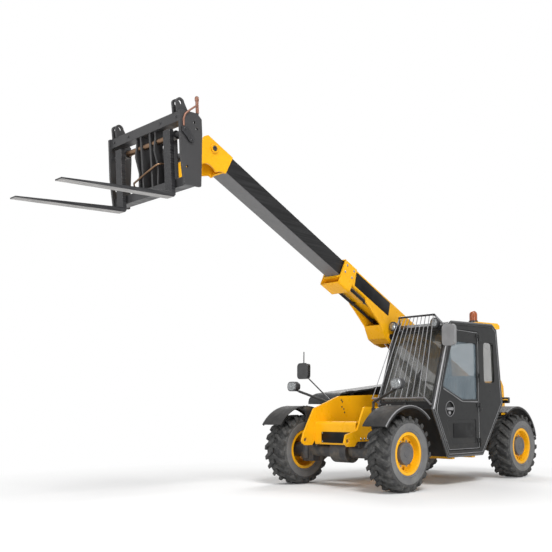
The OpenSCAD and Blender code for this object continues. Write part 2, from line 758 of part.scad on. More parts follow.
module boom_head() color(yellow) in_boom() difference() {
    union() {
        for (s = [-1, 1]) translate([0, s * (inner_w / 2 - 4), 0]) side_plate(-10, 10) head_outline();
        span([inner_1, -inner_w / 2, inner_low], [inner_1 + 20, inner_w / 2, inner_top]);
        span([inner_1, -inner_w / 2, inner_top - 14], [inner_1 + 340, inner_w / 2, inner_top]);
        for (s = [-1, 1]) translate([0, s * (inner_w / 2 - 4), 0]) {
            bar_y(tilt_pivot[0], tilt_pivot[1], 80, -10, 10);
        }
        // tilt ram pin and its bosses
        for (s = [-1, 1]) translate([0, s * (inner_w / 2 + 8), 0])
            bar_y(tilt_base[0], tilt_base[1], 46, -4, 4);
        bar_y(tilt_base[0], tilt_base[1], 22, -inner_w / 2 - 14, inner_w / 2 + 14);
    }
    bar_y(tilt_pivot[0], tilt_pivot[1], 25 + run, -300, 300);
}

module head_outline() difference() {
    polygon(rounded([[inner_1, inner_low - 20], [inner_1, inner_top], [inner_1 + 350, inner_top],
    [inner_1 + 380, 20], [inner_1 + 400, -150], [inner_1 + 520, -515], [inner_1 + 548, -553],
    [inner_1 + 420, -639], [inner_1 + 392, -590], [inner_1 + 300, -380], [inner_1 + 40, -150]], 10));
    // arch behind the leg
    translate([inner_1 + 175, -305]) circle(r = 115);
}

module tilt_barrel() color(dark) in_tilt_ram() difference() {
    union() {
        bar_y(0, 0, 42, -40, 40);
        rotate([0, 90, 0]) translate([0, 0, 10]) cylinder(r = 42, h = 390);
    }
    bar_y(0, 0, 22 + run, -50, 50);
    rotate([0, 90, 0]) translate([0, 0, 70]) cylinder(r = 34, h = 400);
}

module tilt_rod() color(steel) in_tilt_ram() {
    rotate([0, 90, 0]) translate([0, 0, tilt_len - 395]) cylinder(r = 22, h = 400);
    rotate([0, 90, 0]) translate([0, 0, tilt_len - 395]) cylinder(r = 33.5, h = 20);
    bar_y(tilt_len, 0, 40, -42, 42);
}

module lift_barrel() color(dark) in_lift_ram() difference() {
    union() {
        bar_y(0, 0, 60, -70, 70);
        rotate([0, 90, 0]) translate([0, 0, 20]) cylinder(r = 58, h = 1360);
    }
    bar_y(0, 0, 25 + run, -80, 80);
    rotate([0, 90, 0]) translate([0, 0, 90]) cylinder(r = 48, h = 1400);
}

module lift_rod() color(steel) in_lift_ram() {
    rotate([0, 90, 0]) translate([0, 0, ram_len - 1480]) cylinder(r = 30, h = 1460);
    rotate([0, 90, 0]) translate([0, 0, ram_len - 1480]) cylinder(r = 47.5, h = 60);
    bar_y(ram_len, 0, 48, -70, 70);
}

// carriage

module carriage_frame() color(dark) in_carriage() {
    h = carriage_w / 2;
    difference() {
        union() {
            // side plates, top and bottom beams
            for (s = [-1, 1]) translate([0, s * (h - 12), 0]) side_plate(-12, 12)
                difference() {
                    polygon(rounded([[45, -190], [12, 300], [12, 430], [60, 475],
                                     [250, 475], [250, 80], [225, -190]], 12));
                    for (p = [[189, -27], [70, 330], [95, 385]]) translate(p) circle(r = 12);
                }
            // closing plate behind the left fork
            span([100, 150, -120], [112, fork_gap / 2 - 60, 300]);
            span([130, -h, 385], [230, h, 475]);
            span([100, -h, -190], [205, h, -110]);
            // lugs on the pivot
            for (s = [-1, 1]) translate([0, s * 72, 0]) side_plate(-12, 12) lug_outline();
            // fork shaft
            bar_y(185, 290, 22, -h, h);
            // clevis lugs on top
            for (s = [-1, 1]) for (k = [-30, 30]) translate([0, s * (h - 90) + k, 0]) side_plate(-10, 10)
                ear_outline();
            // curved hooks over the pivot, and the lock lever
            for (s = [-1, 1]) translate([0, s * 150, 0]) side_plate(-10, 10) hook_outline();
            bar([48, h - 12, 380], [48, h - 12, 636], 11);
            // pivot pin
            bar_y(0, 0, 25, -135, 135);
        }
        bar_y(200, 561, 20, -h, h);
    }
}

module ear_outline() union() {
    translate([200, 561]) circle(r = 42);
    polygon([[110, 470], [172, 592], [242, 561], [236, 470]]);
}

module hook_outline() polygon(rounded([[100, 470], [215, 470], [215, 330], [232, 210], [195, 60], [205, -120],
    [110, -120], [118, 40], [150, 180], [140, 260], [95, 330]], 26));

module lug_outline() union() {
    circle(r = 62);
    polygon([[-50, 40], [60, 160], [130, 475], [225, 475], [205, -190], [100, -190], [30, -60]]);
}

module forks() color(dark) in_carriage() difference() {
    for (s = [-1, 1]) translate([0, s * fork_gap / 2, 0]) {
        side_plate(-fork_w / 2, fork_w / 2) polygon([[222, 330], [heel_x, 330], [heel_x, heel_z + 45],
            [heel_x + fork_len, heel_z + 12], [heel_x + fork_len, heel_z],
            [240, heel_z], [222, heel_z + 20]]);
        bar_y(185, 290, 40, -fork_w / 2, fork_w / 2);
    }
    bar_y(185, 290, 22 + run, -1000, 1000);
}

// what is drawn

module place() translate([-mid_x, 0, 0]) children();

place() chassis_frame();
place() counterweight();
place() front_axle();
place() rear_axle();
place() engine_bay();
place() engine_block();
place() cab_frame();
place() cab_roof();
place() cab_glass();
place() screen_guard();
place() seat();
place() steering_console();
place() beacon();
place() lamps();
place() mirrors();
place() engine_cover();
place() door_panel();
place() door_glass();
place() knuckle_fl();
place() knuckle_fr();
place() knuckle_rl();
place() knuckle_rr();
place() fender_fl();
place() fender_fr();
place() fender_rl();
place() fender_rr();
place() rim_fl();
place() rim_fr();
place() rim_rl();
place() rim_rr();
place() tyre_fl();
place() tyre_fr();
place() tyre_rl();
place() tyre_rr();
place() outer_boom();
place() inner_boom();
place() boom_head();
place() tilt_barrel();
place() tilt_rod();
place() lift_barrel();
place() lift_rod();
place() carriage_frame();
place() forks();
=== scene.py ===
"""Looks of the telehandler: materials for the CAD nodes, and the trim that rides on its bodies."""
from math import atan2, cos, exp, pi, radians, sin, sqrt, tan
import bmesh
import bpy
from mathutils import Matrix, Vector


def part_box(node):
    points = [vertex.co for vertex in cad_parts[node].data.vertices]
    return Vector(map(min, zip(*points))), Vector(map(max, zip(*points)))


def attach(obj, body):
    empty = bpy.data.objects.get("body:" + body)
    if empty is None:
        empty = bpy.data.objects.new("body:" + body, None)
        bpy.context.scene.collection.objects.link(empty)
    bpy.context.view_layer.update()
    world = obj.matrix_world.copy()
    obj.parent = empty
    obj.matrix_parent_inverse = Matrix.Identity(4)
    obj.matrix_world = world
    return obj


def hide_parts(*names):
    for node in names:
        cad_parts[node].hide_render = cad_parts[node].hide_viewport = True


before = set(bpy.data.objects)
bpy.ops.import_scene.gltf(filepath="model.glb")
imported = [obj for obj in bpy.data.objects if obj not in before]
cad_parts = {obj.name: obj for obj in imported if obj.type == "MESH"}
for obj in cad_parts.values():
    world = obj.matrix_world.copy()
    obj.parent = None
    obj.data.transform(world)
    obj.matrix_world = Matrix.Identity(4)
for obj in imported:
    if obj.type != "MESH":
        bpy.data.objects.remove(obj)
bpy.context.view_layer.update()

# place of the front axle along the frame, in metres
FRONT_X = sum(corner.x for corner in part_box("rim_fl")) / 2
# places of the part, in millimetres from the front axle
REAR_X = -2430
AXLE_Z = 405
WHEEL_Y = 770
BOOM_Y = -100
BOOM_ANGLE = 25.5
BOOM_PIVOT = (-2750, BOOM_Y, 1200)
CARRIAGE_PIVOT = (2419.73, BOOM_Y, 3025.45)
FORK_TILT = 4.5
SCREEN_LOW = (-508, 0, 875)
SCREEN_LEAN = 19.267
SCREEN_LEN = 1045.6
CAB_LEFT = 870
CAB_RIGHT = 60
WHEELS = {"fl": (0, 1), "fr": (0, -1), "rl": (REAR_X, 1), "rr": (REAR_X, -1)}


def turned(place, angle):
    """Frame at a place, turned about the machine's crosswise axis."""
    return MACHINE @ Matrix.Translation(place) @ Matrix.Rotation(radians(angle), 4, "Y")


MACHINE = Matrix.Translation((FRONT_X, 0, 0)) @ Matrix.Scale(0.001, 4)
BOOM = turned(BOOM_PIVOT, -BOOM_ANGLE)
CARRIAGE = turned(CARRIAGE_PIVOT, FORK_TILT)
SCREEN = turned(SCREEN_LOW, -SCREEN_LEAN)


def wheel_frame(name):
    """Frame of a wheel: y outwards from the machine's middle."""
    x, side = WHEELS[name]
    return MACHINE @ Matrix.Translation((x, 0, AXLE_Z)) @ Matrix.Scale(side, 4, (0, 1, 0))


# camera, as the photograph was taken

YAW = radians(40.99)
PITCH = radians(6.98)
CAMERA_AT = (6.4271 + FRONT_X, 5.7794, 0.8539)
LENS_MM = 48.89
SENSOR_MM = 36
SHIFT = (-0.1481, 0.0784)

looking = Vector((-cos(YAW) * cos(PITCH), -sin(YAW) * cos(PITCH), sin(PITCH)))
lens = bpy.data.cameras.new("camera")
lens.lens = LENS_MM
lens.sensor_width = SENSOR_MM
lens.shift_x, lens.shift_y = SHIFT
camera = bpy.data.objects.new("camera", lens)
camera.location = CAMERA_AT
camera.rotation_euler = looking.to_track_quat("-Z", "Y").to_euler()
bpy.context.collection.objects.link(camera)
bpy.context.scene.camera = camera


# materials

# colour sockets of the Mix node
MIX_A = 6
MIX_B = 7
MIX_RESULT = 2
# colours of wear and dirt
BLACK_PAINT = (0.014, 0.014, 0.015)
WORN_CASTING = (0.24, 0.23, 0.22)
ROAD_DUST = (0.30, 0.25, 0.19)
GREY_DUST = (0.26, 0.24, 0.21)
TYRE_DUST = (0.150, 0.146, 0.138)
GLASS_DUST = (0.4, 0.42, 0.42)
DIRT = (0.17, 0.14, 0.10)


class Look:
    """A procedural material: one Principled shader and the nodes that feed it."""

    def __init__(self, name, **fixed):
        self.mat = bpy.data.materials.new(name)
        self.mat.use_nodes = True
        self.tree = self.mat.node_tree
        self.shader = self.tree.nodes["Principled BSDF"]
        self.coords = self.add("TexCoord").outputs["Object"]
        self.soft = None
        for key, value in fixed.items():
            self.shader.inputs[key.replace("_", " ")].default_value = value

    def add(self, kind, **values):
        """A new node; each value sets a property of it, or feeds the input of that name."""
        node = self.tree.nodes.new("ShaderNode" + kind)
        for key, value in values.items():
            if hasattr(node, key):
                setattr(node, key, value)
            else:
                self.feed(node.inputs[key.replace("_", " ")], value)
        return node

    def feed(self, into, value):
        """Links a socket, or sets a plain value."""
        if isinstance(value, bpy.types.NodeSocket):
            self.tree.links.new(value, into)
        elif isinstance(value, tuple) and len(value) == 3 and into.type == "RGBA":
            into.default_value = (*value, 1)
        else:
            into.default_value = value

    def along(self, angle, stretch):
        """Coordinates turned to lie along a boom, and stretched."""
        turn = self.add("Mapping", Vector=self.coords, Rotation=(0, radians(angle), 0), Scale=stretch)
        return turn.outputs["Vector"]

    def noise(self, scale, detail=3.0, coords=None):
        """Noise from 0 to 1; scale counts its waves in a metre."""
        return self.add("TexNoise", Vector=coords or self.coords, Scale=scale, Detail=detail).outputs["Fac"]

    def between(self, value, low, high, start=0.0, end=1.0):
        """A value from low to high, taken to start to end and held there."""
        node = self.add("MapRange", Value=value, From_Min=low, From_Max=high, To_Min=start, To_Max=end)
        return node.outputs["Result"]

    def patches(self, scale, detail, low, high, start=0.0, end=1.0):
        """Cloudy patches: noise from low to high, taken to start to end."""
        return self.between(self.noise(scale, detail), low, high, start, end)

    def math(self, operation, a, b):
        """A Math node on two values."""
        node = self.add("Math", operation=operation)
        self.feed(node.inputs[0], a)
        self.feed(node.inputs[1], b)
        return node.outputs[0]

    def times(self, a, b):
        """Product of two values."""
        return self.math("MULTIPLY", a, b)

    def mix(self, factor, a, b):
        """Colour a where the factor is 0, and b where it is 1."""
        node = self.add("Mix", data_type="RGBA")
        self.feed(node.inputs[0], factor)
        self.feed(node.inputs[MIX_A], a)
        self.feed(node.inputs[MIX_B], b)
        return node.outputs[MIX_RESULT]

    def axis(self, name):
        """One coordinate of the point, in metres."""
        return self.add("SeparateXYZ", Vector=self.coords).outputs[name]

    def up(self):
        """How far the surface faces up, at rest."""
        normal = self.add("TexCoord").outputs["Normal"]
        return self.add("SeparateXYZ", Vector=normal).outputs["Z"]

    def edges(self, radius):
        """Soft edges for the shading, and a mask that is 1 on them."""
        self.soft = self.add("Bevel", samples=4, Radius=radius).outputs["Normal"]
        flat = self.add("NewGeometry").outputs["Normal"]
        node = self.add("VectorMath", operation="DOT_PRODUCT")
        self.feed(node.inputs[0], self.soft)
        self.feed(node.inputs[1], flat)
        return self.between(node.outputs["Value"], 0.97, 0.80)

    def finish(self, colour, rough, height, depth, strength):
        """Feeds the shader its colour, its roughness and its bump over the soft edges."""
        bump = self.add("Bump", Height=height, Distance=depth, Strength=strength)
        if self.soft is not None:
            self.feed(bump.inputs["Normal"], self.soft)
        self.feed(self.shader.inputs["Base Color"], colour)
        self.feed(self.shader.inputs["Roughness"], rough)
        self.feed(self.shader.inputs["Normal"], bump.outputs["Normal"])
        return self.mat


def shade(colour, factor, lift=0.0):
    """A colour times a factor, with a little added."""
    return tuple(c * factor + lift for c in colour)


def paint(name, colour, worn, rough=0.3, edge=0.003, wear=0.5, dust=0.25, low=0.5, black=None, **fixed):
    """Sprayed paint: slow colour drift, fine orange peel, chipped edges, dust on top and low down.

    black gives the mask of the places that are painted black.
    """
    look = Look(name, **fixed)
    tone = look.mix(look.patches(2.5, 3, 0.35, 0.65), shade(colour, 0.86), colour)
    if black:
        tone = look.mix(black(look), tone, BLACK_PAINT)
    rub = look.times(look.edges(edge), look.patches(34, 6, 0.52, 0.66))
    tone = look.mix(look.times(rub, wear), tone, worn)
    film = look.patches(9, 6, 0.42, 0.75)
    on_top = look.between(look.up(), 0.6, 1.0, 0.0, 0.35)
    low_down = look.between(look.axis("Z"), low + 0.35, low - 0.25)
    settled = look.math("MAXIMUM", on_top, low_down)
    tone = look.mix(look.times(look.times(settled, film), dust), tone, ROAD_DUST)
    sheen = look.patches(14, 5, 0.3, 0.7, rough * 0.8, rough * 1.25)
    return look.finish(tone, sheen, look.noise(420, 2), 0.0002, 0.12)


def moulded(name, colour, rough=0.55, grain=900, dust=0.2, **fixed):
    """Moulded plastic: fine grain, scuffs and a little dust on top."""
    look = Look(name, **fixed)
    look.edges(0.003)
    tone = look.mix(look.patches(5, 5, 0.4, 0.7), colour, shade(colour, 1.5, 0.01))
    film = look.times(look.between(look.up(), 0.5, 1.0), look.patches(16, 6, 0.4, 0.7))
    tone = look.mix(look.times(film, dust), tone, GREY_DUST)
    sheen = look.patches(20, 4, 0.3, 0.7, rough * 0.85, rough * 1.2)
    return look.finish(tone, sheen, look.noise(grain, 2), 0.0003, 0.25)


def casting(name, colour, rough=0.6, dust=0.35):
    """Painted casting: rough skin, and dirt that builds up in patches."""
    look = Look(name, Metallic=0.1)
    worn = look.times(look.edges(0.005), look.patches(26, 6, 0.5, 0.64))
    tone = look.mix(look.patches(7, 6, 0.35, 0.7), colour, shade(colour, 1.7))
    tone = look.mix(look.times(worn, 0.5), tone, WORN_CASTING)
    tone = look.mix(look.times(look.patches(11, 8, 0.45, 0.7), dust), tone, DIRT)
    sheen = look.patches(30, 3, 0.3, 0.7, rough * 0.85, rough * 1.2)
    return look.finish(tone, sheen, look.noise(160, 5), 0.0008, 0.35)


def bare_metal(name, colour, rough, scale=300):
    """Bare metal with a fine grain and a few dull patches."""
    look = Look(name, Metallic=1.0)
    look.edges(0.002)
    grain = look.noise(scale)
    tone = look.mix(look.patches(8, 5, 0.35, 0.7), colour, shade(colour, 0.78))
    return look.finish(tone, look.between(grain, 0.3, 0.7, rough * 0.7, rough * 1.4), grain, 0.0001, 0.1)


def lens_glass(name, colour, facets, metal=0.6):
    """Lamp lens over its reflector, with small facets; facets counts them in a metre."""
    look = Look(name, Metallic=metal, Coat_Weight=1.0, Coat_Roughness=0.03)
    cells = look.add("TexVoronoi", Vector=look.coords, Scale=facets).outputs["Distance"]
    tone = look.mix(look.between(cells, 0.1, 0.6), colour, shade(colour, 0.45))
    return look.finish(tone, look.patches(60, 3, 0.3, 0.7, 0.08, 0.16), cells, 0.004, 0.6)


def window_glass(name, colour, side, front):
    """Tinted pane with a film of dust, whose colour is also a painted reflection; side and front are the
    cover of the side panes and the windscreen.
    """
    look = Look(name, Specular_IOR_Level=0.5, Coat_Weight=0.15, Coat_Roughness=0.02)
    film = look.patches(6, 6, 0.35, 0.8)
    # the windscreen lies in front of this band, the side panes behind it
    tint = look.between(look.axis("X"), FRONT_X - 0.93, FRONT_X - 0.86, side, front)
    look.feed(look.shader.inputs["Alpha"], look.math("ADD", tint, look.times(film, 0.08)))
    tone = look.mix(look.times(film, 0.2), colour, GLASS_DUST)
    return look.finish(tone, look.between(film, 0.0, 1.0, 0.02, 0.09), look.noise(3, 2), 0.002, 0.05)


def yellow_look(name, black=None):
    """The machine's yellow paint."""
    return paint(name, (0.93, 0.455, 0.007), (0.22, 0.16, 0.10), rough=0.30, edge=0.004, wear=0.3, dust=0.12,
                 low=0.4, black=black, Coat_Weight=0.1, Coat_Roughness=0.1, Specular_IOR_Level=0.2)


def hinge_brackets(look):
    """Mask of the engine cover's hinge brackets on the chassis plate."""
    front = look.between(look.axis("X"), FRONT_X - 0.46, FRONT_X - 0.47)
    back = look.between(look.axis("X"), FRONT_X - 1.72, FRONT_X - 1.71)
    outer = look.between(look.axis("Y"), -0.348, -0.349)
    high = look.between(look.axis("Z"), 0.90, 0.91)
    return look.times(look.times(front, back), look.times(outer, high))


def boom_look():
    """Near-black boom paint, rubbed by the wear pads along its length, with a painted reflection of the floor
    on its underside.
    """
    look = Look("boom_black", Specular_IOR_Level=0.22)
    worn = look.times(look.edges(0.006), look.patches(30, 6, 0.5, 0.65))
    streaks = look.noise(60, 4, look.along(BOOM_ANGLE, (0.03, 1, 1)))
    tone = look.mix(look.between(streaks, 0.38, 0.68), (0.007, 0.007, 0.0075), (0.020, 0.020, 0.021))
    # painted reflection: faces turned down are painted pale grey, for the white floor's light on them
    tone = look.mix(look.between(look.up(), -0.4, -0.8), tone, (0.16, 0.16, 0.162))
    tone = look.mix(look.times(worn, 0.6), tone, (0.14, 0.14, 0.14))
    return look.finish(tone, look.between(streaks, 0.3, 0.7, 0.28, 0.5), streaks, 0.0003, 0.15)


def fork_look():
    """Black forks, worn bright at the tips and edges; their undersides painted pale, partly scraped wear and
    partly a painted reflection of the floor.
    """
    look = Look("fork_steel", Metallic=0.35)
    edge = look.edges(0.003)
    under = look.between(look.up(), -0.2, -0.8)
    scrape = look.noise(70, 5, look.along(-FORK_TILT, (0.04, 1, 1)))
    tone = look.mix(look.between(scrape, 0.4, 0.65), (0.016, 0.016, 0.018), (0.045, 0.045, 0.047))
    # painted reflection: faces turned down are painted pale, streaked by scrapes, for the floor's light on
    # them as well as worn steel
    pale = look.mix(look.between(scrape, 0.35, 0.7), (0.40, 0.39, 0.38), (0.24, 0.235, 0.23))
    tone = look.mix(under, tone, pale)
    tone = look.mix(look.times(edge, look.between(scrape, 0.45, 0.6)), tone, (0.36, 0.35, 0.33))
    return look.finish(tone, look.between(scrape, 0.3, 0.7, 0.35, 0.55), scrape, 0.0004, 0.25)


def rubber_look(name, dark, pale, dusty):
    """Tyre rubber: dusty in patches, with a fine moulded skin."""
    look = Look(name, Specular_IOR_Level=0.35)
    look.edges(0.004)
    clean = (dark, dark, dark * 1.03)
    tone = look.mix(look.patches(8, 6, 0.35, 0.7), clean, (pale, pale, pale * 0.97))
    tone = look.mix(look.times(look.patches(22, 8, 0.45, 0.72), dusty), tone, TYRE_DUST)
    sheen = look.patches(40, 3, 0.3, 0.7, 0.62, 0.9)
    return look.finish(tone, sheen, look.noise(260, 4), 0.0008, 0.4)


def guard_look():
    """Screen guard: pale rods under a dark top bar."""
    look = Look("guard_rods", Metallic=0.4)
    high = look.between(look.axis("Z"), 1.945, 1.955)
    chip = look.patches(90, 6, 0.5, 0.7)
    rods = look.mix(chip, (0.20, 0.20, 0.21), (0.32, 0.32, 0.33))
    bar = look.mix(chip, (0.018, 0.018, 0.02), (0.05, 0.05, 0.052))
    sheen = look.between(chip, 0, 1, 0.35, 0.5)
    return look.finish(look.mix(high, rods, bar), sheen, look.noise(300), 0.0002, 0.2)


def beacon_look():
    """Amber dome with fine ribs, on a dark base."""
    look = Look("amber_lens", Coat_Weight=0.3, Coat_Roughness=0.1, Specular_IOR_Level=0.3)
    base = look.between(look.axis("Z"), 1.986, 1.983)
    ribs = look.add("TexWave", Vector=look.coords, Scale=70.0, bands_direction="Z").outputs["Fac"]
    dome = look.mix(look.between(ribs, 0.2, 0.8), (0.36, 0.085, 0.014), (0.22, 0.046, 0.008))
    tone = look.mix(base, dome, (0.02, 0.02, 0.022))
    return look.finish(tone, look.patches(30, 3, 0.3, 0.7, 0.12, 0.25), ribs, 0.001, 0.4)


def mirror_look():
    """Mirror shells: pale grey on the cab, black on the right stalk."""
    look = Look("mirror_shell", Coat_Weight=0.3, Coat_Roughness=0.1)
    look.edges(0.006)
    left = look.between(look.axis("Y"), -0.05, 0.05)
    fine = look.patches(9, 5, 0.35, 0.7)
    pale = look.mix(fine, (0.16, 0.16, 0.164), (0.21, 0.21, 0.214))
    dark = look.mix(fine, (0.020, 0.020, 0.022), (0.040, 0.040, 0.042))
    sheen = look.between(fine, 0, 1, 0.3, 0.42)
    return look.finish(look.mix(left, dark, pale), sheen, look.noise(700, 2), 0.0002, 0.2)


def cloth_look():
    """Woven seat cover."""
    look = Look("seat_fabric", Sheen_Weight=0.5, Sheen_Roughness=0.4)
    warp = look.add("TexWave", Vector=look.coords, Scale=190.0, bands_direction="Y").outputs["Fac"]
    weft = look.add("TexWave", Vector=look.coords, Scale=190.0, bands_direction="X").outputs["Fac"]
    weave = look.times(warp, weft)
    tone = look.mix(look.patches(12, 5, 0.35, 0.7), (0.020, 0.022, 0.026), (0.036, 0.038, 0.044))
    tone = look.mix(look.times(weave, 0.5), tone, (0.075, 0.078, 0.085))
    return look.finish(tone, look.between(weave, 0, 1, 0.95, 0.8), weave, 0.0008, 0.5)


YELLOW = yellow_look("yellow_paint")
CHASSIS_YELLOW = yellow_look("chassis_yellow", hinge_brackets)
ROOF = paint("roof_yellow", (0.93, 0.47, 0.010), (0.5, 0.3, 0.05), rough=0.36, wear=0.15, dust=0.15,
             Specular_IOR_Level=0.3)
CAB = paint("cab_grey", (0.011, 0.0115, 0.012), (0.10, 0.10, 0.10), rough=0.34, edge=0.006, wear=0.5,
            dust=0.10, low=0.4, Coat_Weight=0.1, Coat_Roughness=0.1, Specular_IOR_Level=0.20)
CARRIAGE_GREY = paint("carriage_grey", (0.044, 0.0435, 0.045), (0.22, 0.21, 0.20), rough=0.4, edge=0.006,
                      wear=0.9, dust=0.2, low=0.0, Specular_IOR_Level=0.3)
CAB_TUBE = paint("cab_tube", (0.034, 0.035, 0.037), (0.16, 0.16, 0.16), rough=0.26, wear=0.4, dust=0.1,
                 Coat_Weight=0.5, Coat_Roughness=0.08)
RAM_BLACK = paint("ram_black", (0.016, 0.016, 0.018), (0.10, 0.10, 0.10), rough=0.3, wear=0.6, dust=0.2)
PANEL_BLACK = moulded("panel_black", (0.004, 0.004, 0.0045), rough=0.4, grain=500, dust=0.05,
                      Specular_IOR_Level=0.15)
BOOM_BLACK = boom_look()
FORK = fork_look()
CAST = casting("cast_iron", (0.030, 0.030, 0.032))
AXLE = casting("axle_cast", (0.028, 0.028, 0.030), rough=0.55, dust=0.5)
ENGINE = casting("engine_cast", (0.10, 0.105, 0.11), rough=0.5)
PLASTIC = moulded("dark_plastic", (0.020, 0.020, 0.022))
FENDER = moulded("fender_plastic", (0.013, 0.0125, 0.0125), rough=0.55, grain=700, dust=0.12,
                 Specular_IOR_Level=0.3)
COVER = moulded("cover_plastic", (0.024, 0.025, 0.027), rough=0.42, grain=800, dust=0.25)
# pale grey trim, which also paints the highlights on the edges of the cab, the door and the fenders
GREY_TRIM_AND_PAINTED_HIGHLIGHT = moulded("grey_trim_and_painted_highlight", (0.17, 0.17, 0.175), rough=0.45, dust=0.1)
# pale silver, painted as the highlight along the front pillar
SILVER_PAINTED_HIGHLIGHT = bare_metal("silver_painted_highlight", (0.62, 0.62, 0.63), 0.38, scale=200)
SEAL = moulded("rubber_seal", (0.010, 0.010, 0.010), rough=0.7, dust=0.2)
RUBBER = rubber_look("tyre_rubber", 0.028, 0.050, 0.42)
# the sidewall and shoulder are paler copies of the tread's rubber: painted light, strongest on the sidewall
SIDEWALL_PAINTED_LIGHT = rubber_look("tyre_sidewall_painted_light", 0.13, 0.185, 0.35)
SHOULDER_PAINTED_LIGHT = rubber_look("tyre_shoulder_painted_light", 0.055, 0.080, 0.40)
GUARD = guard_look()
AMBER = beacon_look()
MIRROR_SHELL = mirror_look()
CLOTH = cloth_look()
# door pane: its blue-grey colour is tint and a painted reflection of the sky
GLASS = window_glass("tinted_glass", (0.15, 0.20, 0.235), 0.46, 0.46)
# cab panes: their dark colour is tint and a painted dark reflection, strongest on the windscreen
CLEAR = window_glass("screen_glass_painted_reflection", (0.045, 0.045, 0.038), 0.24, 0.52)
CHROME = bare_metal("chrome_rod", (0.74, 0.74, 0.76), 0.12, scale=500)
ZINC = bare_metal("zinc_bolts", (0.46, 0.45, 0.42), 0.34)
HUB_GREY = paint("hub_grey", (0.10, 0.10, 0.104), (0.25, 0.25, 0.25), rough=0.45, wear=0.4, dust=0.3, low=0.6,
                 Specular_IOR_Level=0.3)
HUB_STEEL = bare_metal("hub_steel", (0.27, 0.27, 0.275), 0.42, scale=120)
BRONZE = bare_metal("bronze", (0.27, 0.165, 0.10), 0.34, scale=200)
COPPER = paint("copper", (0.25, 0.115, 0.075), (0.35, 0.2, 0.14), rough=0.4, wear=0.4, dust=0.2, low=0.0,
               Metallic=0.3)
MIRROR = bare_metal("mirror_glass", (0.82, 0.84, 0.86), 0.04, scale=40)
LENS = lens_glass("clear_lens", (0.42, 0.44, 0.45), 60)
RED_LENS = lens_glass("red_lens", (0.42, 0.010, 0.008), 120, metal=0.2)
ORANGE_LENS = lens_glass("orange_lens", (0.70, 0.17, 0.010), 120, metal=0.2)

NODE_LOOKS = {
    CHASSIS_YELLOW: ("chassis_frame",),
    YELLOW: ("outer_boom", "boom_head", "rim_fl", "rim_fr", "rim_rl", "rim_rr"),
    ROOF: ("cab_roof",),
    CAST: ("counterweight",),
    AXLE: ("front_axle", "rear_axle", "knuckle_fl", "knuckle_fr", "knuckle_rl", "knuckle_rr"),
    ENGINE: ("engine_block",),
    CAB: ("cab_frame", "door_panel", "engine_bay"),
    COVER: ("engine_cover",),
    GLASS: ("door_glass",),
    CLEAR: ("cab_glass",),
    GUARD: ("screen_guard",),
    CLOTH: ("seat",),
    PLASTIC: ("steering_console", "lamps"),
    MIRROR_SHELL: ("mirrors",),
    AMBER: ("beacon",),
    FENDER: ("fender_fl", "fender_fr", "fender_rl", "fender_rr"),
    RUBBER: ("tyre_fl", "tyre_fr", "tyre_rl", "tyre_rr"),
    BOOM_BLACK: ("inner_boom",),
    RAM_BLACK: ("tilt_barrel", "lift_barrel"),
    CHROME: ("tilt_rod", "lift_rod"),
    CARRIAGE_GREY: ("carriage_frame",),
    FORK: ("forks",),
}
for look, names in NODE_LOOKS.items():
    for name in names:
        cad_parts[name].data.materials.clear()
        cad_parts[name].data.materials.append(look)


# mesh building, in millimetres of a frame

def rounded(points, r, steps=5):
    """An outline with its corners rounded to r."""
    out = []
    for i, corner in enumerate(points):
        b = Vector(corner)
        u = (Vector(points[i - 1]) - b).normalized()
        v = (Vector(points[(i + 1) % len(points)]) - b).normalized()
        half = u.angle(v) / 2
        middle = b + (u + v).normalized() * (r / sin(half))
        start = b + u * (r / tan(half)) - middle
        end = b + v * (r / tan(half)) - middle
        turn = atan2(start.x * end.y - start.y * end.x, start.dot(end))
        first = atan2(start.y, start.x)
        for k in range(steps + 1):
            a = first + turn * k / steps
            out.append((middle.x + r * cos(a), middle.y + r * sin(a)))
    return out


def rectangle(a, b, r):
    """Outline of a rectangle from corner a to corner b, rounded to r."""
    return rounded([(a[0], a[1]), (b[0], a[1]), (b[0], b[1]), (a[0], b[1])], r)


def circle(steps, start=0):
    """Angles of a full turn in equal steps."""
    return [2 * pi * (k + start) / steps for k in range(steps)]


# places of a swept outline: u and v across the axis, w along it
SWEEP = {"x": lambda u, v, w: (w, u, v), "y": lambda u, v, w: (u, w, v), "z": lambda u, v, w: (u, v, w)}


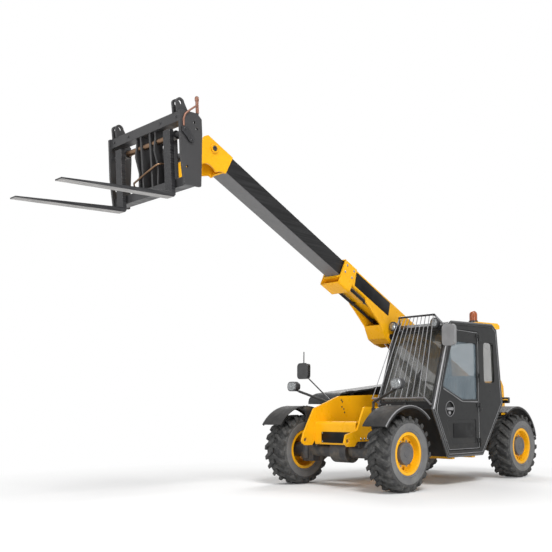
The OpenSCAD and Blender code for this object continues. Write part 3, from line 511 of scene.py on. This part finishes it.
class Shape:
    """One piece under construction, in millimetres of its frame."""

    def __init__(self):
        self.bm = bmesh.new()

    def rings(self, loops, closed=False):
        """Joins loops of points, one after the other, and closes the ends of an open row."""
        rows = [[self.bm.verts.new(p) for p in loop] for loop in loops]
        pairs = list(zip(rows, rows[1:]))
        if closed:
            pairs.append((rows[-1], rows[0]))
        for a, b in pairs:
            for i in range(len(a)):
                j = (i + 1) % len(a)
                self.bm.faces.new((a[i], a[j], b[j], b[i]))
        if not closed:
            return [self.bm.faces.new(rows[0][::-1]), self.bm.faces.new(rows[-1])]
        return []

    def prism(self, outline, low, high, axis="y", soft=0.0):
        """An outline swept along an axis; soft is the width of its edge rounding."""
        place = SWEEP[axis]
        caps = self.rings([[place(u, v, w) for u, v in outline] for w in (low, high)])
        if soft:
            edges = list(dict.fromkeys(e for f in caps for e in f.edges))
            bmesh.ops.bevel(self.bm, geom=edges, offset=soft, segments=2, affect="EDGES", profile=0.5)
        return self

    def lathe(self, profile, at=(0, 0, 0), axis="y", steps=32):
        """A profile of (radius, height) turned about an axis."""
        place = SWEEP[axis]
        loops = []
        for r, h in profile:
            r = max(r, 0.01)
            loop = [place(r * cos(a), r * sin(a), h) for a in circle(steps)]
            loops.append([tuple(Vector(p) + Vector(at)) for p in loop])
        self.rings(loops)
        return self

    def tube(self, path, r, sides=10, closed=False):
        """A round bar along a path."""
        points = [Vector(p) for p in path]
        n = len(points)
        side = None
        loops = []
        for i, p in enumerate(points):
            if closed:
                way = (points[(i + 1) % n] - points[i - 1]).normalized()
            else:
                way = (points[min(i + 1, n - 1)] - points[max(i - 1, 0)]).normalized()
            side = way.orthogonal() if side is None else side - way * side.dot(way)
            side.normalize()
            other = way.cross(side)
            loops.append([tuple(p + (side * cos(a) + other * sin(a)) * r) for a in circle(sides)])
        self.rings(loops, closed)
        return self

    def bolt(self, at, way, r=9):
        """A hexagon head on its washer, standing out of a face along one axis: way is such as '+x'."""
        sign = 1 if way[0] == "+" else -1
        place = SWEEP[way[1]]
        washer = [(r * 1.5, 0), (r * 1.5, 1.6), (r * 1.3, 2.4)]
        head = [(r, 2.4), (r, 2.4 + r * 0.55), (r * 0.82, 2.4 + r * 0.72)]
        for stack, steps in ((washer, 20), (head, 6)):
            loops = []
            for radius, h in stack:
                loop = [place(radius * cos(a), radius * sin(a), h * sign) for a in circle(steps)]
                loops.append([tuple(Vector(at) + Vector(p)) for p in loop])
            self.rings(loops)
        return self

    def pin(self, x, z, face, way, r):
        """A pin's end cap on a side face, with its keeper plate and bolt."""
        self.lathe([(r, face), (r, face + way * 7), (r - 4, face + way * 11), (r * 0.3, face + way * 11),
                    (r * 0.25, face + way * 8), (0, face + way * 8)], at=(x, 0, z), steps=32)
        self.bolt((x + r * 0.62, face + way * 11, z + r * 0.1), "+y" if way > 0 else "-y", r * 0.14)
        return self

    def piece(self, name, place, look, body, sharp=35, others=()):
        """Makes the object in its frame, with its looks, and lets it ride on a body.

        sharp is the angle in degrees from which an edge stays sharp; others are the further materials.
        """
        bmesh.ops.recalc_face_normals(self.bm, faces=self.bm.faces)
        self.bm.transform(place)
        if place.determinant() < 0:
            bmesh.ops.reverse_faces(self.bm, faces=self.bm.faces)
        mesh = bpy.data.meshes.new(name)
        self.bm.to_mesh(mesh)
        self.bm.free()
        mesh.shade_smooth()
        mesh.set_sharp_from_angle(angle=radians(sharp))
        for used in (look, *others):
            mesh.materials.append(used)
        obj = bpy.data.objects.new(name, mesh)
        bpy.context.collection.objects.link(obj)
        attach(obj, body)
        return obj


# wheels

TYRE_R = 405
TYRE_HALF = 153
TYRE_STEPS = 96
# radii at which the sidewall, painted pale as painted light, turns to the shoulder, painted less pale, and
# that to the dark tread
SHOULDER_FROM = 322
TREAD_FROM = 350
# half of a tyre's section, from the rim to the tread: radius, and distance from the tyre's middle
SIDEWALL = [(206, 123), (229, 123), (230, 138), (236, 141), (240, 145), (248, 146), (252, 143), (257, 143),
            (261, 147.5), (290, 151), (315, 153), (321, 152.6), (324, 148), (330, 147), (334, 149.5),
            (352, 142), (366, 129), (374, 112), (377, 93)]
# places of the tyre's materials
TREAD, WALL, SHOULDER = range(3)
LUGS = 20
LUG_START = pi - 0.179
# radius at which the places round the tyre are measured
LUG_AT = 400
# middle line of a lug: place round the tyre, distance from the tyre's middle, and drop of its top
LUG_LINE = [(-50, 2, 0), (-44, 12, 0), (-22, 50, 0), (2, 84, 0), (28, 118, 0), (46, 142, 0), (50, 149, 5),
            (51, 151, 16)]
HUB_FACE = WHEEL_Y + 114
NUT_FACE = WHEEL_Y + 66
NUT_CIRCLE = 139
NUTS = 8
FENDER_R = 511
BEAD_INSET = 5
BEAD_STEPS = 40


def tread_radius(y):
    """Radius of the lug tops, rounded off at the shoulders."""
    return TYRE_R - 0.3 - 11 * (abs(y) / TYRE_HALF) ** 4


def lug_loops(side, turn):
    """Sections of one lug, from the middle of the tread to the shoulder and down the sidewall."""
    loops = []
    for x, y, drop in LUG_LINE:
        top = tread_radius(y) - drop
        foot = 345 if y > 120 else 366
        section = [(x - 30, foot), (x - 25, top - 6), (x - 20, top), (x + 20, top), (x + 25, top - 6),
                   (x + 30, foot)]
        loop = []
        for u, r in section:
            a = u / LUG_AT + turn
            loop.append((r * sin(a), WHEEL_Y + y * side, r * cos(a)))
        loops.append(loop)
    return loops


def tyre(name):
    """Lugged tyre in place of the CAD tyre: turned walls with a material by radius, paler rubber on the
    sidewall and shoulder as painted light, and two rows of lugs.
    """
    shape = Shape()
    loops = []
    for r, h in SIDEWALL + [(r, -h) for r, h in reversed(SIDEWALL)]:
        loops.append([(r * cos(a), WHEEL_Y + h, r * sin(a)) for a in circle(TYRE_STEPS)])
    shape.rings(loops, closed=True)
    for face in shape.bm.faces:
        r = face.calc_center_median().xz.length
        face.material_index = TREAD if r > TREAD_FROM else SHOULDER if r > SHOULDER_FROM else WALL
    for i in range(LUGS):
        for side, half in ((1, 0), (-1, 0.5)):
            shape.rings(lug_loops(side, LUG_START + (i + half) * 2 * pi / LUGS))
    obj = shape.piece("lug_tyre_" + name, wheel_frame(name), RUBBER, "wheel_" + name, 40,
                      (SIDEWALL_PAINTED_LIGHT, SHOULDER_PAINTED_LIGHT))
    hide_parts("tyre_" + name)


def hub(name):
    """Grey hub face, the tyre's valve, and the wheel nuts."""
    shape = Shape()
    y = HUB_FACE
    shape.lathe([(104, y - 46), (120, y - 46), (120, y - 8), (114, y + 2), (84, y + 4), (82, y + 1),
                 (42, y + 1), (40, y + 4), (0, y + 5)], steps=48)
    shape.tube([(150, WHEEL_Y + 60, 110), (150, WHEEL_Y + 88, 112), (152, WHEEL_Y + 106, 116)], 4.5, 8)
    shape.piece("hub_face_" + name, wheel_frame(name), HUB_GREY, "wheel_" + name)
    nuts = Shape()
    for a in circle(NUTS, 0.5):
        nuts.bolt((NUT_CIRCLE * cos(a), NUT_FACE, NUT_CIRCLE * sin(a)), "+y", 10)
    nuts.piece("wheel_nuts_" + name, wheel_frame(name), ZINC, "wheel_" + name)


def fender_highlight_bead(name):
    """Pale bead along the outer edge of a fender, painted as the highlight on that edge, and the fender's
    fixing bolts.
    """
    front = name[0] == "f"
    # the fender's angles run from the front of the machine over the top
    first, last = (35, 134) if front else (58, 167)
    outer = 940 if front else 860
    path = []
    for k in range(BEAD_STEPS + 1):
        a = radians(first + (last - first) * k / BEAD_STEPS)
        path.append(((FENDER_R - BEAD_INSET) * cos(a), outer - BEAD_INSET, (FENDER_R - BEAD_INSET) * sin(a)))
    # painted highlight: the pale grey bead stands for the light caught along the fender's edge
    Shape().tube(path, 7, 10).piece("fender_highlight_bead_" + name, wheel_frame(name), GREY_TRIM_AND_PAINTED_HIGHLIGHT, "hub_" + name)
    bolts = Shape()
    for x in (-28, 28):
        bolts.bolt((x, 640, sqrt(FENDER_R ** 2 - x * x)), "+z", 8)
    bolts.piece("fender_bolts_" + name, wheel_frame(name), ZINC, "hub_" + name)


for corner in WHEELS:
    tyre(corner)
    hub(corner)
    fender_highlight_bead(corner)


# cab

CAB_SIDE = [(-508, 875), (-853, 1862), (-900, 1900), (-1817, 1936), (-1915, 1872), (-2028, 945), (-1545, 336),
            (-800, 336)]
# outline of a pale line inset from the cab's edges, painted as their highlight
CAB_HIGHLIGHT_LINE = [(-545, 880), (-876, 1840), (-915, 1872), (-1808, 1907), (-1890, 1855), (-2000, 952), (-1533, 364),
            (-815, 364)]
REAR_TOP, REAR_LOW = CAB_SIDE[4:6]
# the next two outlines carry pale lines painted as highlights: round the door, and below its window
DOOR_HIGHLIGHT_LINE = [(-823, 414), (-586, 850), (-590, 902), (-884, 1808), (-1466, 1808), (-1466, 414)]
WINDOW_SILL_HIGHLIGHT = [(-716, 1112), (-900, 1044), (-1080, 976), (-1110, 967), (-1150, 965), (-1440, 965)]
DRIP_LINE = [(-880, 1868), (-1180, 1880), (-1500, 1892), (-1810, 1903)]
DOOR_WINDOW = rounded([(-912, 1680), (-700, 1135), (-1106, 985), (-1440, 985), (-1440, 1680)], 30)
QUARTER_WINDOW = rounded([(-1594, 1195), (-1861, 1195), (-1838, 1706), (-1594, 1706)], 50)
RIGHT_WINDOW = rounded([(-920, 1780), (-640, 980), (-1900, 980), (-1850, 1780)], 40)
REAR_WINDOW = rectangle((CAB_RIGHT + 80, 1080), (CAB_LEFT - 80, 1740), 40)
SCREEN_WINDOW = rectangle((CAB_RIGHT + 45, 90), (CAB_LEFT - 45, SCREEN_LEN - 60), 8)
HINGE_Z = (480, 900, 1260, 1740)
# places on the screen of the wiper's boss and of its blade's middle, and how far the blade leans
WIPER_AT = (465, 52)
BLADE_AT = (590, 480)
BLADE_LEAN = 0.16


def on_side(outline, y):
    """An outline on a side face of the cab."""
    return [(x, y, z) for x, z in outline]


def seals():
    """Rubber seals round the panes."""
    door = Shape().tube(on_side(DOOR_WINDOW, CAB_LEFT - 6), 7, 8, True)
    door.piece("door_seal", MACHINE, SEAL, "door")
    shape = Shape()
    shape.tube(on_side(QUARTER_WINDOW, CAB_LEFT - 6), 7, 8, True)
    shape.tube(on_side(RIGHT_WINDOW, CAB_RIGHT + 6), 7, 8, True)
    lean = (REAR_TOP[0] - REAR_LOW[0]) / (REAR_TOP[1] - REAR_LOW[1])
    shape.tube([(REAR_LOW[0] + (z - REAR_LOW[1]) * lean + 4, y, z) for y, z in REAR_WINDOW], 8, 8, True)
    shape.piece("cab_seals", MACHINE, SEAL, "chassis")
    screen = [(-4, y, z) for y, z in SCREEN_WINDOW]
    Shape().tube(screen, 8, 8, True).piece("screen_seal", SCREEN, SEAL, "chassis")


def wiper():
    """Wiper on the windscreen: boss, sprung arm, and blade."""
    shape = Shape()
    shape.lathe([(0, -1), (20, -1), (20, 12), (14, 20), (0, 22)], at=(0, *WIPER_AT), axis="x", steps=24)
    shape.tube([(12, *WIPER_AT), (16, 478, 120), (10, 520, 260), (2, 560, 400), (-3, *BLADE_AT)], 6, 8)
    shape.prism([(-5, 180), (5, 180), (5, 790), (-5, 790)], -9, -2, "x", 1.5)
    for v in shape.bm.verts:
        if v.co.x < 0 and abs(v.co.y) < 6:
            v.co.y += BLADE_AT[0] + (v.co.z - BLADE_AT[1]) * BLADE_LEAN
    shape.piece("wiper", SCREEN, SEAL, "chassis")


def pillar_trim():
    """Pale tube on the left front pillar and pale line round the cab's side, both painted highlights on the
    cab's edges, and the drip rail over the door.
    """
    tube = [(-10, CAB_LEFT - 10, z) for z in (4, 40, 300, 600, 850, SCREEN_LEN - 90)]
    # painted highlight: a pale silver tube standing for the light along the front pillar
    Shape().tube(tube, 16, 14).piece("pillar_highlight_tube", SCREEN, SILVER_PAINTED_HIGHLIGHT, "chassis")
    # painted highlight: a pale grey line round the cab's side, inside its edges
    line = Shape().tube(on_side(rounded(CAB_HIGHLIGHT_LINE, 20), CAB_LEFT), 4, 8, True)
    line.piece("cab_highlight_line", MACHINE, GREY_TRIM_AND_PAINTED_HIGHLIGHT, "chassis")
    Shape().tube(on_side(DRIP_LINE, CAB_LEFT - 1), 8, 10).piece("drip_rail", MACHINE, SEAL, "chassis")


def cab_edges():
    """Rounded frame tubes along the side edges of the cab."""
    for name, y in (("left", CAB_LEFT - 11), ("right", CAB_RIGHT + 11)):
        tube = Shape().tube(on_side(rounded(CAB_SIDE, 22), y), 14, 12, True)
        tube.piece("cab_edge_" + name, MACHINE, CAB_TUBE, "chassis")


def door_trim():
    """Door handle with its lock and its ring, pale lines round the door and below its window painted as
    highlights, and hinge bolts.
    """
    shape = Shape()
    paddle = rounded([(-912, 862), (-780, 868), (-780, 892), (-912, 898)], 9)
    shape.prism(paddle, CAB_LEFT - 6, CAB_LEFT + 5, "y", 3)
    shape.lathe([(0, CAB_LEFT - 16), (20, CAB_LEFT - 16), (20, CAB_LEFT - 2), (15, CAB_LEFT + 1),
                 (0, CAB_LEFT + 1)], at=(-846, 0, 832), steps=24)
    shape.tube([(-846 + 86 * cos(a), CAB_LEFT, 880 + 86 * sin(a)) for a in circle(40)], 4, 8, True)
    shape.piece("door_handle", MACHINE, GREY_TRIM_AND_PAINTED_HIGHLIGHT, "door")
    # painted highlights: pale grey lines round the door and along the foot of its window
    lines = Shape()
    lines.tube(on_side(rounded(DOOR_HIGHLIGHT_LINE, 18), CAB_LEFT), 3.5, 8, True)
    lines.tube(on_side(WINDOW_SILL_HIGHLIGHT, CAB_LEFT), 6, 8)
    lines.piece("door_highlight_lines", MACHINE, GREY_TRIM_AND_PAINTED_HIGHLIGHT, "door")
    hinges = (("door_bolts", "door", (-1446, -1428), 25), ("hinge_bolts", "chassis", (-1514, -1532), -25))
    for name, body, columns, rise in hinges:
        bolts = Shape()
        for z in HINGE_Z:
            for x in columns:
                bolts.bolt((x, CAB_LEFT + 8, z + rise), "+y", 6)
        bolts.piece(name, MACHINE, RAM_BLACK, body)


def joystick():
    """Boom lever beside the seat, with its gaiter."""
    shape = Shape()
    folds = [(46, 0), (48, 10), (38, 16), (42, 26), (32, 32), (35, 42), (24, 50), (14, 62), (12, 120)]
    grip = [(20, 128), (25, 150), (22, 178), (27, 205), (22, 226), (8, 236), (0, 237)]
    shape.lathe([(0, 0)] + folds + grip, at=(-1330, 185, 690), axis="z", steps=24)
    shape.prism(rectangle((-1430, 130), (-1240, 222), 30), 440, 692, "z", 12)
    shape.piece("joystick", MACHINE, PLASTIC, "chassis")


seals()
cab_edges()
wiper()
pillar_trim()
door_trim()
joystick()


# seat

# room left round a cushion's core, in millimetres
CORE_INSET = 7
VOXEL = 0.01
PRESSURE = 4
CLOTH_STEPS = 20
# the furthest that the cloth moves a point, in metres
SWELL = 0.009
# sewn channels: places across a cushion and half width in millimetres, depth in metres
CHANNELS = (-150, -75, 0, 75, 150)
CHANNEL_HALF = 9
CHANNEL_DEPTH = 0.009
SEAT_Y = 475
BELLOWS_LOW = 382
BELLOWS_HIGH = 606
BELLOWS_FOLDS = 12
# turns a cushion up on its edge, to make the seat's back
STAND_UP = Matrix(((0, 0, 1), (0, -1, 0), (1, 0, 0))).to_4x4()


def applied(obj):
    """The object's mesh with its modifiers applied, as a new mesh."""
    graph = bpy.context.evaluated_depsgraph_get()
    mesh = bpy.data.meshes.new_from_object(obj.evaluated_get(graph))
    obj.modifiers.clear()
    obj.data = mesh
    return mesh


def cushion(name, size, thick, place):
    """A padded cushion: remeshed, blown up as cloth, then sewn with channels along its length."""
    shape = Shape()
    shape.prism(rectangle((-size[0], -size[1]), size, 55), CORE_INSET, thick - CORE_INSET, "z", 24)
    obj = shape.piece(name, Matrix.Scale(0.001, 4), CLOTH, "chassis", 80)
    remesh = obj.modifiers.new("remesh", "REMESH")
    remesh.mode = "VOXEL"
    remesh.voxel_size = VOXEL
    mesh = applied(obj)
    start = [v.co.copy() for v in mesh.vertices]
    cloth = obj.modifiers.new("cloth", "CLOTH").settings
    cloth.use_pressure = True
    cloth.uniform_pressure_force = PRESSURE
    cloth.effector_weights.gravity = 0
    for step in range(1, CLOTH_STEPS + 1):
        bpy.context.scene.frame_set(step)
    mesh = applied(obj)
    bpy.context.scene.frame_set(1)
    for v, was in zip(mesh.vertices, start):
        move = v.co - was
        if move.length > SWELL:
            v.co = was + move.normalized() * SWELL
        # only the upper half is sewn
        if v.co.z > thick / 2000:
            seam = sum(exp(-((v.co.y * 1000 - c) / CHANNEL_HALF) ** 2) for c in CHANNELS)
            v.co.z -= CHANNEL_DEPTH * min(seam, 1)
    mesh.transform(place @ Matrix.Scale(1000, 4))
    mesh.shade_smooth()
    obj.modifiers.new("smooth", "SUBSURF").levels = 1
    return obj


def seat():
    """Two cushions in place of the CAD seat, and the bellows of its sprung base."""
    base = cushion("seat_cushion", (222, 242), 100, MACHINE @ Matrix.Translation((-1395, SEAT_Y, 600)))
    back_frame = turned((-1600, 0, 640), -12) @ Matrix.Translation((-60, SEAT_Y, 345)) @ STAND_UP
    cushion("seat_back", (330, 232), 116, back_frame)
    loops = []
    for k in range(BELLOWS_FOLDS + 1):
        grow = 0 if k % 2 else 14
        z = BELLOWS_LOW + (BELLOWS_HIGH - BELLOWS_LOW) * k / BELLOWS_FOLDS
        fold = rectangle((-1436 - grow, 314 - grow), (-1244 + grow, 636 + grow), 40)
        loops.append([(x, y, z) for x, y in fold])
    bellows = Shape()
    bellows.rings(loops)
    bellows.piece("seat_bellows", MACHINE, SEAL, "chassis", 60)
    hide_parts("seat")


seat()


# black panels

BUMPER_PANEL_FACE = 153


def panels():
    """Plain black panels: on the bumper, on the door, and on both sides of the boom."""
    shape = Shape().prism(rectangle((-222, 497), (220, 620), 10), 149.5, BUMPER_PANEL_FACE, "x", 1)
    shape.piece("bumper_panel", MACHINE, PANEL_BLACK, "chassis")
    screws = Shape()
    for y in (-208, 206):
        for z in (511, 606):
            screws.bolt((BUMPER_PANEL_FACE, y, z), "+x", 5)
    screws.piece("bumper_screws", MACHINE, ZINC, "chassis")
    door = Shape().prism(rectangle((-1385, 545), (-915, 712), 14), CAB_LEFT - 6.5, CAB_LEFT - 2, "y", 1)
    door.piece("door_black_panel", MACHINE, PANEL_BLACK, "door")
    outline = rounded([(2150, -118), (2850, -118), (2890, 46), (2190, 46)], 12)
    for name, low, high in (("left", 134.5, 137.5), ("right", -137.5, -134.5)):
        Shape().prism(outline, low, high, "y", 1).piece("boom_panel_" + name, BOOM, PANEL_BLACK, "outer_boom")


# lamps and mirrors

HEAD_LAMP_Y = 800
WORK_LAMPS_Y = (112, 730)
# faces of the rear lamps' wings and of the counterweight
WING_FACE = -2660.3
REAR_FACE = -3060


def round_lens(shape, at, r):
    """A domed lens looking forwards."""
    dome = [(r, -1), (r, 2), (r * 0.86, 6), (r * 0.6, 9), (r * 0.3, 10.5), (0, 11)]
    shape.lathe(dome, at=at, axis="x", steps=40)


def lenses():
    """Lenses of the work lamps, head lamps and rear lamps, and the mirror glasses."""
    for i, y in enumerate(WORK_LAMPS_Y):
        lift = Matrix.Translation((30, y, SCREEN_LEN + 12)) @ Matrix.Rotation(radians(SCREEN_LEAN), 4, "Y")
        shape = Shape()
        round_lens(shape, (84, 0, 0), 45)
        shape.piece("work_lens_%d" % i, SCREEN @ lift, LENS, "chassis")
    head = Shape()
    bezel = Shape()
    for y in (HEAD_LAMP_Y, -HEAD_LAMP_Y):
        head.prism(rectangle((y - 64, 1104), (y + 64, 1196), 42), 74.5, 82, "x", 4)
        bezel.tube([(76, u, v) for u, v in rectangle((y - 70, 1098), (y + 70, 1202), 48)], 4, 8, True)
    head.piece("head_lenses", MACHINE, LENS, "chassis")
    bezel.piece("head_bezels", MACHINE, GREY_TRIM_AND_PAINTED_HIGHLIGHT, "chassis")
    red = Shape()
    orange = Shape()
    for side in (1, -1):
        for lens_shape, y, half in ((red, side * 535, 28), (orange, side * 592, 22)):
            outline = rectangle((y - half, 968), (y + half, 1032), 8)
            lens_shape.prism(outline, WING_FACE - 7, WING_FACE + 0.5, "x", 3)
        button = [(26, REAR_FACE - 0.5), (26, REAR_FACE - 4), (22, REAR_FACE - 7), (0, REAR_FACE - 7)]
        red.lathe(button, at=(0, side * 390, 560), axis="x", steps=28)
    red.piece("red_lenses", MACHINE, RED_LENS, "chassis")
    orange.piece("orange_lenses", MACHINE, ORANGE_LENS, "chassis")
    glass = Shape()
    glass.prism(rectangle((872, 1612), (1018, 1838), 36), -766, -762.5, "x", 1)
    glass.prism(rectangle((-968, 1262), (-807, 1438), 36), -243, -239.5, "x", 1)
    glass.piece("mirror_glass", MACHINE, MIRROR, "chassis")


def stalk_sleeves():
    """Rubber sleeves on the head lamps' stalks."""
    shape = Shape()
    for side, root in ((1, 325), (-1, 365)):
        low = Vector((-120, side * root, 955))
        high = Vector((20, side * HEAD_LAMP_Y, 1110))
        path = [(-120, side * root, 896), (-120, side * root, 936), tuple(low)]
        path += [tuple(low.lerp(high, t)) for t in (0.05, 0.3, 0.6, 0.88)]
        shape.tube(path, 15, 12)
    shape.piece("stalk_sleeves", MACHINE, SEAL, "chassis")


# boom, carriage and pins

# pins of the lift ram and of the boom's head, in the boom's frame
RAM_PIN = (2000, -330)
HEAD_PIN = (5210, -15)


def boom_trim():
    """Caps on the ram, head and pivot pins, collar bolts, and the clamped pipes under the outer boom."""
    caps = Shape()
    caps.pin(*RAM_PIN, -143, -1, 40)
    # the left cap is flat, because the cab is close
    flat = [(38, 142), (38, 146), (34, 149), (12, 149), (10, 147), (0, 147)]
    caps.lathe(flat, at=(RAM_PIN[0], 0, RAM_PIN[1]))
    caps.piece("ram_pin_caps", BOOM, RAM_BLACK, "outer_boom")
    bolts = Shape()
    for s in (2945, 3075):
        for z in (-70, 20):
            bolts.bolt((s, 150, z), "+y", 10)
            bolts.bolt((s, -150, z), "-y", 10)
        for y in (-90, 90):
            bolts.bolt((s, y, 80), "+z", 10)
    bolts.piece("collar_bolts", BOOM, ZINC, "outer_boom")
    pipes = Shape()
    for y in (-114, -88, 88, 114):
        pipes.tube([(1560, y, -150), (1590, y, -168), (1640, y, -172), (2300, y, -172), (2860, y, -172),
                    (2904, y, -178)], 11, 10)
    pipes.piece("boom_pipes", BOOM, SEAL, "outer_boom")
    clamps = Shape()
    for s in (1750, 2150, 2550):
        for side in (1, -1):
            clamps.prism(rectangle((side * 101 - 32, -188), (side * 101 + 32, -146), 8), s, s + 26, "x", 3)
    clamps.piece("pipe_clamps", BOOM, RAM_BLACK, "outer_boom")
    head = Shape()
    for way in (1, -1):
        head.pin(*HEAD_PIN, way * 124, way, 26)
    head.piece("head_pin_caps", BOOM, RAM_BLACK, "inner_boom")
    rings = Shape()
    for way in (1, -1):
        rings.lathe([(30, way * 123.5), (46, way * 123.5), (46, way * 128), (42, way * 131), (32, way * 131),
                     (30, way * 128)], at=(HEAD_PIN[0], 0, HEAD_PIN[1]), steps=40)
    rings.piece("head_pin_rings", BOOM, YELLOW, "inner_boom")
    pivot = Shape()
    for face, way in ((386, 1), (-371, -1)):
        pivot.pin(BOOM_PIVOT[0], BOOM_PIVOT[2], face, way, 50)
    pivot.piece("boom_pivot_caps", MACHINE, HUB_STEEL, "chassis")


def carriage_trim():
    """Bronze shaft sleeves and link rod, copper lock lever and handle, fork latch, pin caps and bolts."""
    sleeves = Shape()
    for low, high in ((-338, -162), (-138, -86), (-58, 58), (86, 138), (162, 338)):
        sleeves.lathe([(22.4, low), (27, low + 2), (27, high - 2), (22.4, high)], at=(185, 0, 290), steps=28)
    sleeves.piece("shaft_sleeves", CARRIAGE, BRONZE, "carriage")
    lever = Shape()
    lever.lathe([(11.4, 478), (15, 481), (15, 590), (19, 594), (20, 616), (17, 630), (8, 635), (0, 636)],
                at=(48, 568, 0), axis="z", steps=20)
    lever.piece("lock_lever", CARRIAGE, COPPER, "carriage")
    rod = Shape()
    rod.tube([(170, -250, -112), (175, -247, -84), (196, -236, -50), (219, -208, -27), (225, 0, 27),
              (223, 150, 65), (214, 180, 74), (182, 196, 80), (111, 199, 82)], 9, 10)
    rod.lathe([(14, 111.5), (18, 114), (18, 122), (13, 126), (9.5, 127)], at=(0, 199, 82), axis="x", steps=20)
    rod.piece("link_rod", CARRIAGE, BRONZE, "carriage")
    handle = Shape()
    handle.tube([(216, 588, 330), (214, 588, 395), (196, 588, 440), (160, 588, 474), (110, 588, 512),
                 (72, 582, 540), (52, 570, 556)], 9, 10)
    handle.piece("latch_handle", CARRIAGE, COPPER, "carriage")
    latch = Shape()
    hook = [(236, 322), (186, 334), (134, 266), (106, 238), (122, 192), (160, 196), (196, 240), (240, 280)]
    latch.prism(rounded(hook, 8), 579.5, 596, "y", 3)
    latch.bolt((210, 596, 302), "+y", 9)
    latch.bolt((136, 596, 224), "+y", 9)
    latch.piece("fork_latch", CARRIAGE, RAM_BLACK, "carriage")
    pins = Shape()
    for way in (1, -1):
        pins.pin(0, 0, way * 134.5, way, 25)
    pins.piece("carriage_pin_caps", CARRIAGE, HUB_STEEL, "carriage")
    bolts = Shape()
    for y in (-560, 560):
        for x in (148, 212):
            bolts.bolt((x, y, 475), "+z", 9)
    for y in (-500, -260, 260, 500):
        bolts.bolt((230, y, 430), "+x", 9)
    bolts.piece("carriage_bolts", CARRIAGE, RAM_BLACK, "carriage")


def chassis_bolts():
    """Bolts of the axles and the counterweight, and dark ones on the boom tower's plate."""
    shape = Shape()
    for x0 in (0, REAR_X):
        for x in (-84, -28, 28, 84):
            shape.bolt((x0 + x, -355, 548), "-y", 10)
            shape.bolt((x0 + x, 315 if x0 == 0 else 370, 548), "+y", 10)
    for y in (-300, 300):
        for z in (640, 800):
            shape.bolt((REAR_FACE, y, z), "-x", 16)
    shape.piece("chassis_bolts", MACHINE, ZINC, "chassis")
    dark = Shape()
    for x, z in ((-300, 985), (-320, 966), (-313, 904), (-345, 880), (-360, 838)):
        dark.bolt((x, -330, z), "+y", 7)
    dark.piece("plate_bolts", MACHINE, RAM_BLACK, "chassis")


panels()
lenses()
stalk_sleeves()
boom_trim()
carriage_trim()
chassis_bolts()


# floor, light and background

FLOOR_HALF = 40
FADE_FROM = 2.2
FADE_TO = 5.0
AMBIENT = 0.20


def floor():
    """Pale floor that fades into a white background, and keeps the shadow."""
    mesh = bpy.data.meshes.new("floor")
    r = FLOOR_HALF
    mesh.from_pydata([(-r, -r, 0), (r, -r, 0), (r, r, 0), (-r, r, 0)], [], [(0, 1, 2, 3)])
    obj = bpy.data.objects.new("floor", mesh)
    obj.location.z = -0.001
    bpy.context.collection.objects.link(obj)
    look = Look("floor", Roughness=0.9)
    tone = look.mix(look.noise(0.8), (0.88, 0.88, 0.88), (0.90, 0.90, 0.90))
    look.feed(look.shader.inputs["Base Color"], tone)
    away = look.add("VectorMath", operation="LENGTH")
    look.feed(away.inputs[0], look.coords)
    fade = look.between(away.outputs["Value"], FADE_FROM, FADE_TO)
    path = look.add("LightPath").outputs
    seen = look.math("MAXIMUM", path["Is Camera Ray"], path["Is Glossy Ray"])
    white = look.add("Emission", Strength=1.0).outputs[0]
    blend = look.add("MixShader")
    look.feed(blend.inputs[0], look.times(fade, seen))
    look.feed(blend.inputs[1], look.shader.outputs[0])
    look.feed(blend.inputs[2], white)
    look.feed(look.tree.nodes["Material Output"].inputs["Surface"], blend.outputs[0])
    mesh.materials.append(look.mat)


def background():
    """White to the camera, in gloss and through glass; softer as light."""
    world = bpy.data.worlds.new("studio")
    bpy.context.scene.world = world
    world.use_nodes = True
    tree = world.node_tree
    tree.nodes.clear()
    path = tree.nodes.new("ShaderNodeLightPath")
    seen = path.outputs["Is Camera Ray"]
    for kind in ("Is Glossy Ray", "Is Transmission Ray"):
        node = tree.nodes.new("ShaderNodeMath")
        node.operation = "MAXIMUM"
        tree.links.new(seen, node.inputs[0])
        tree.links.new(path.outputs[kind], node.inputs[1])
        seen = node.outputs[0]
    soft = tree.nodes.new("ShaderNodeBackground")
    soft.inputs["Strength"].default_value = AMBIENT
    white = tree.nodes.new("ShaderNodeBackground")
    for node in (soft, white):
        node.inputs["Color"].default_value = (1, 1, 1, 1)
    mix = tree.nodes.new("ShaderNodeMixShader")
    tree.links.new(seen, mix.inputs[0])
    tree.links.new(soft.outputs[0], mix.inputs[1])
    tree.links.new(white.outputs[0], mix.inputs[2])
    out = tree.nodes.new("ShaderNodeOutputWorld")
    tree.links.new(mix.outputs[0], out.inputs["Surface"])


def lamp(name, place, target, size, power):
    """A round area lamp that looks at a target; size in metres, power in watts."""
    light = bpy.data.lights.new(name, "AREA")
    light.shape = "DISK"
    light.size = size
    light.energy = power
    obj = bpy.data.objects.new(name, light)
    obj.location = place
    obj.rotation_euler = (Vector(target) - Vector(place)).to_track_quat("-Z", "Y").to_euler()
    bpy.context.collection.objects.link(obj)


floor()
background()
lamp("key", (7.0, 12.0, 19.0), (0, 0, 1.2), 8.0, 3500)
lamp("fill", (9.5, 0.5, 3.5), (0, 0, 1.4), 4.0, 330)
lamp("side", (2.0, 7.5, 1.8), (-0.5, 0, 1.1), 3.0, 200)
lamp("rim", (-6.0, -4.0, 7.5), (0, 0, 1.5), 5.0, 380)

bpy.context.scene.view_settings.view_transform = "Standard"
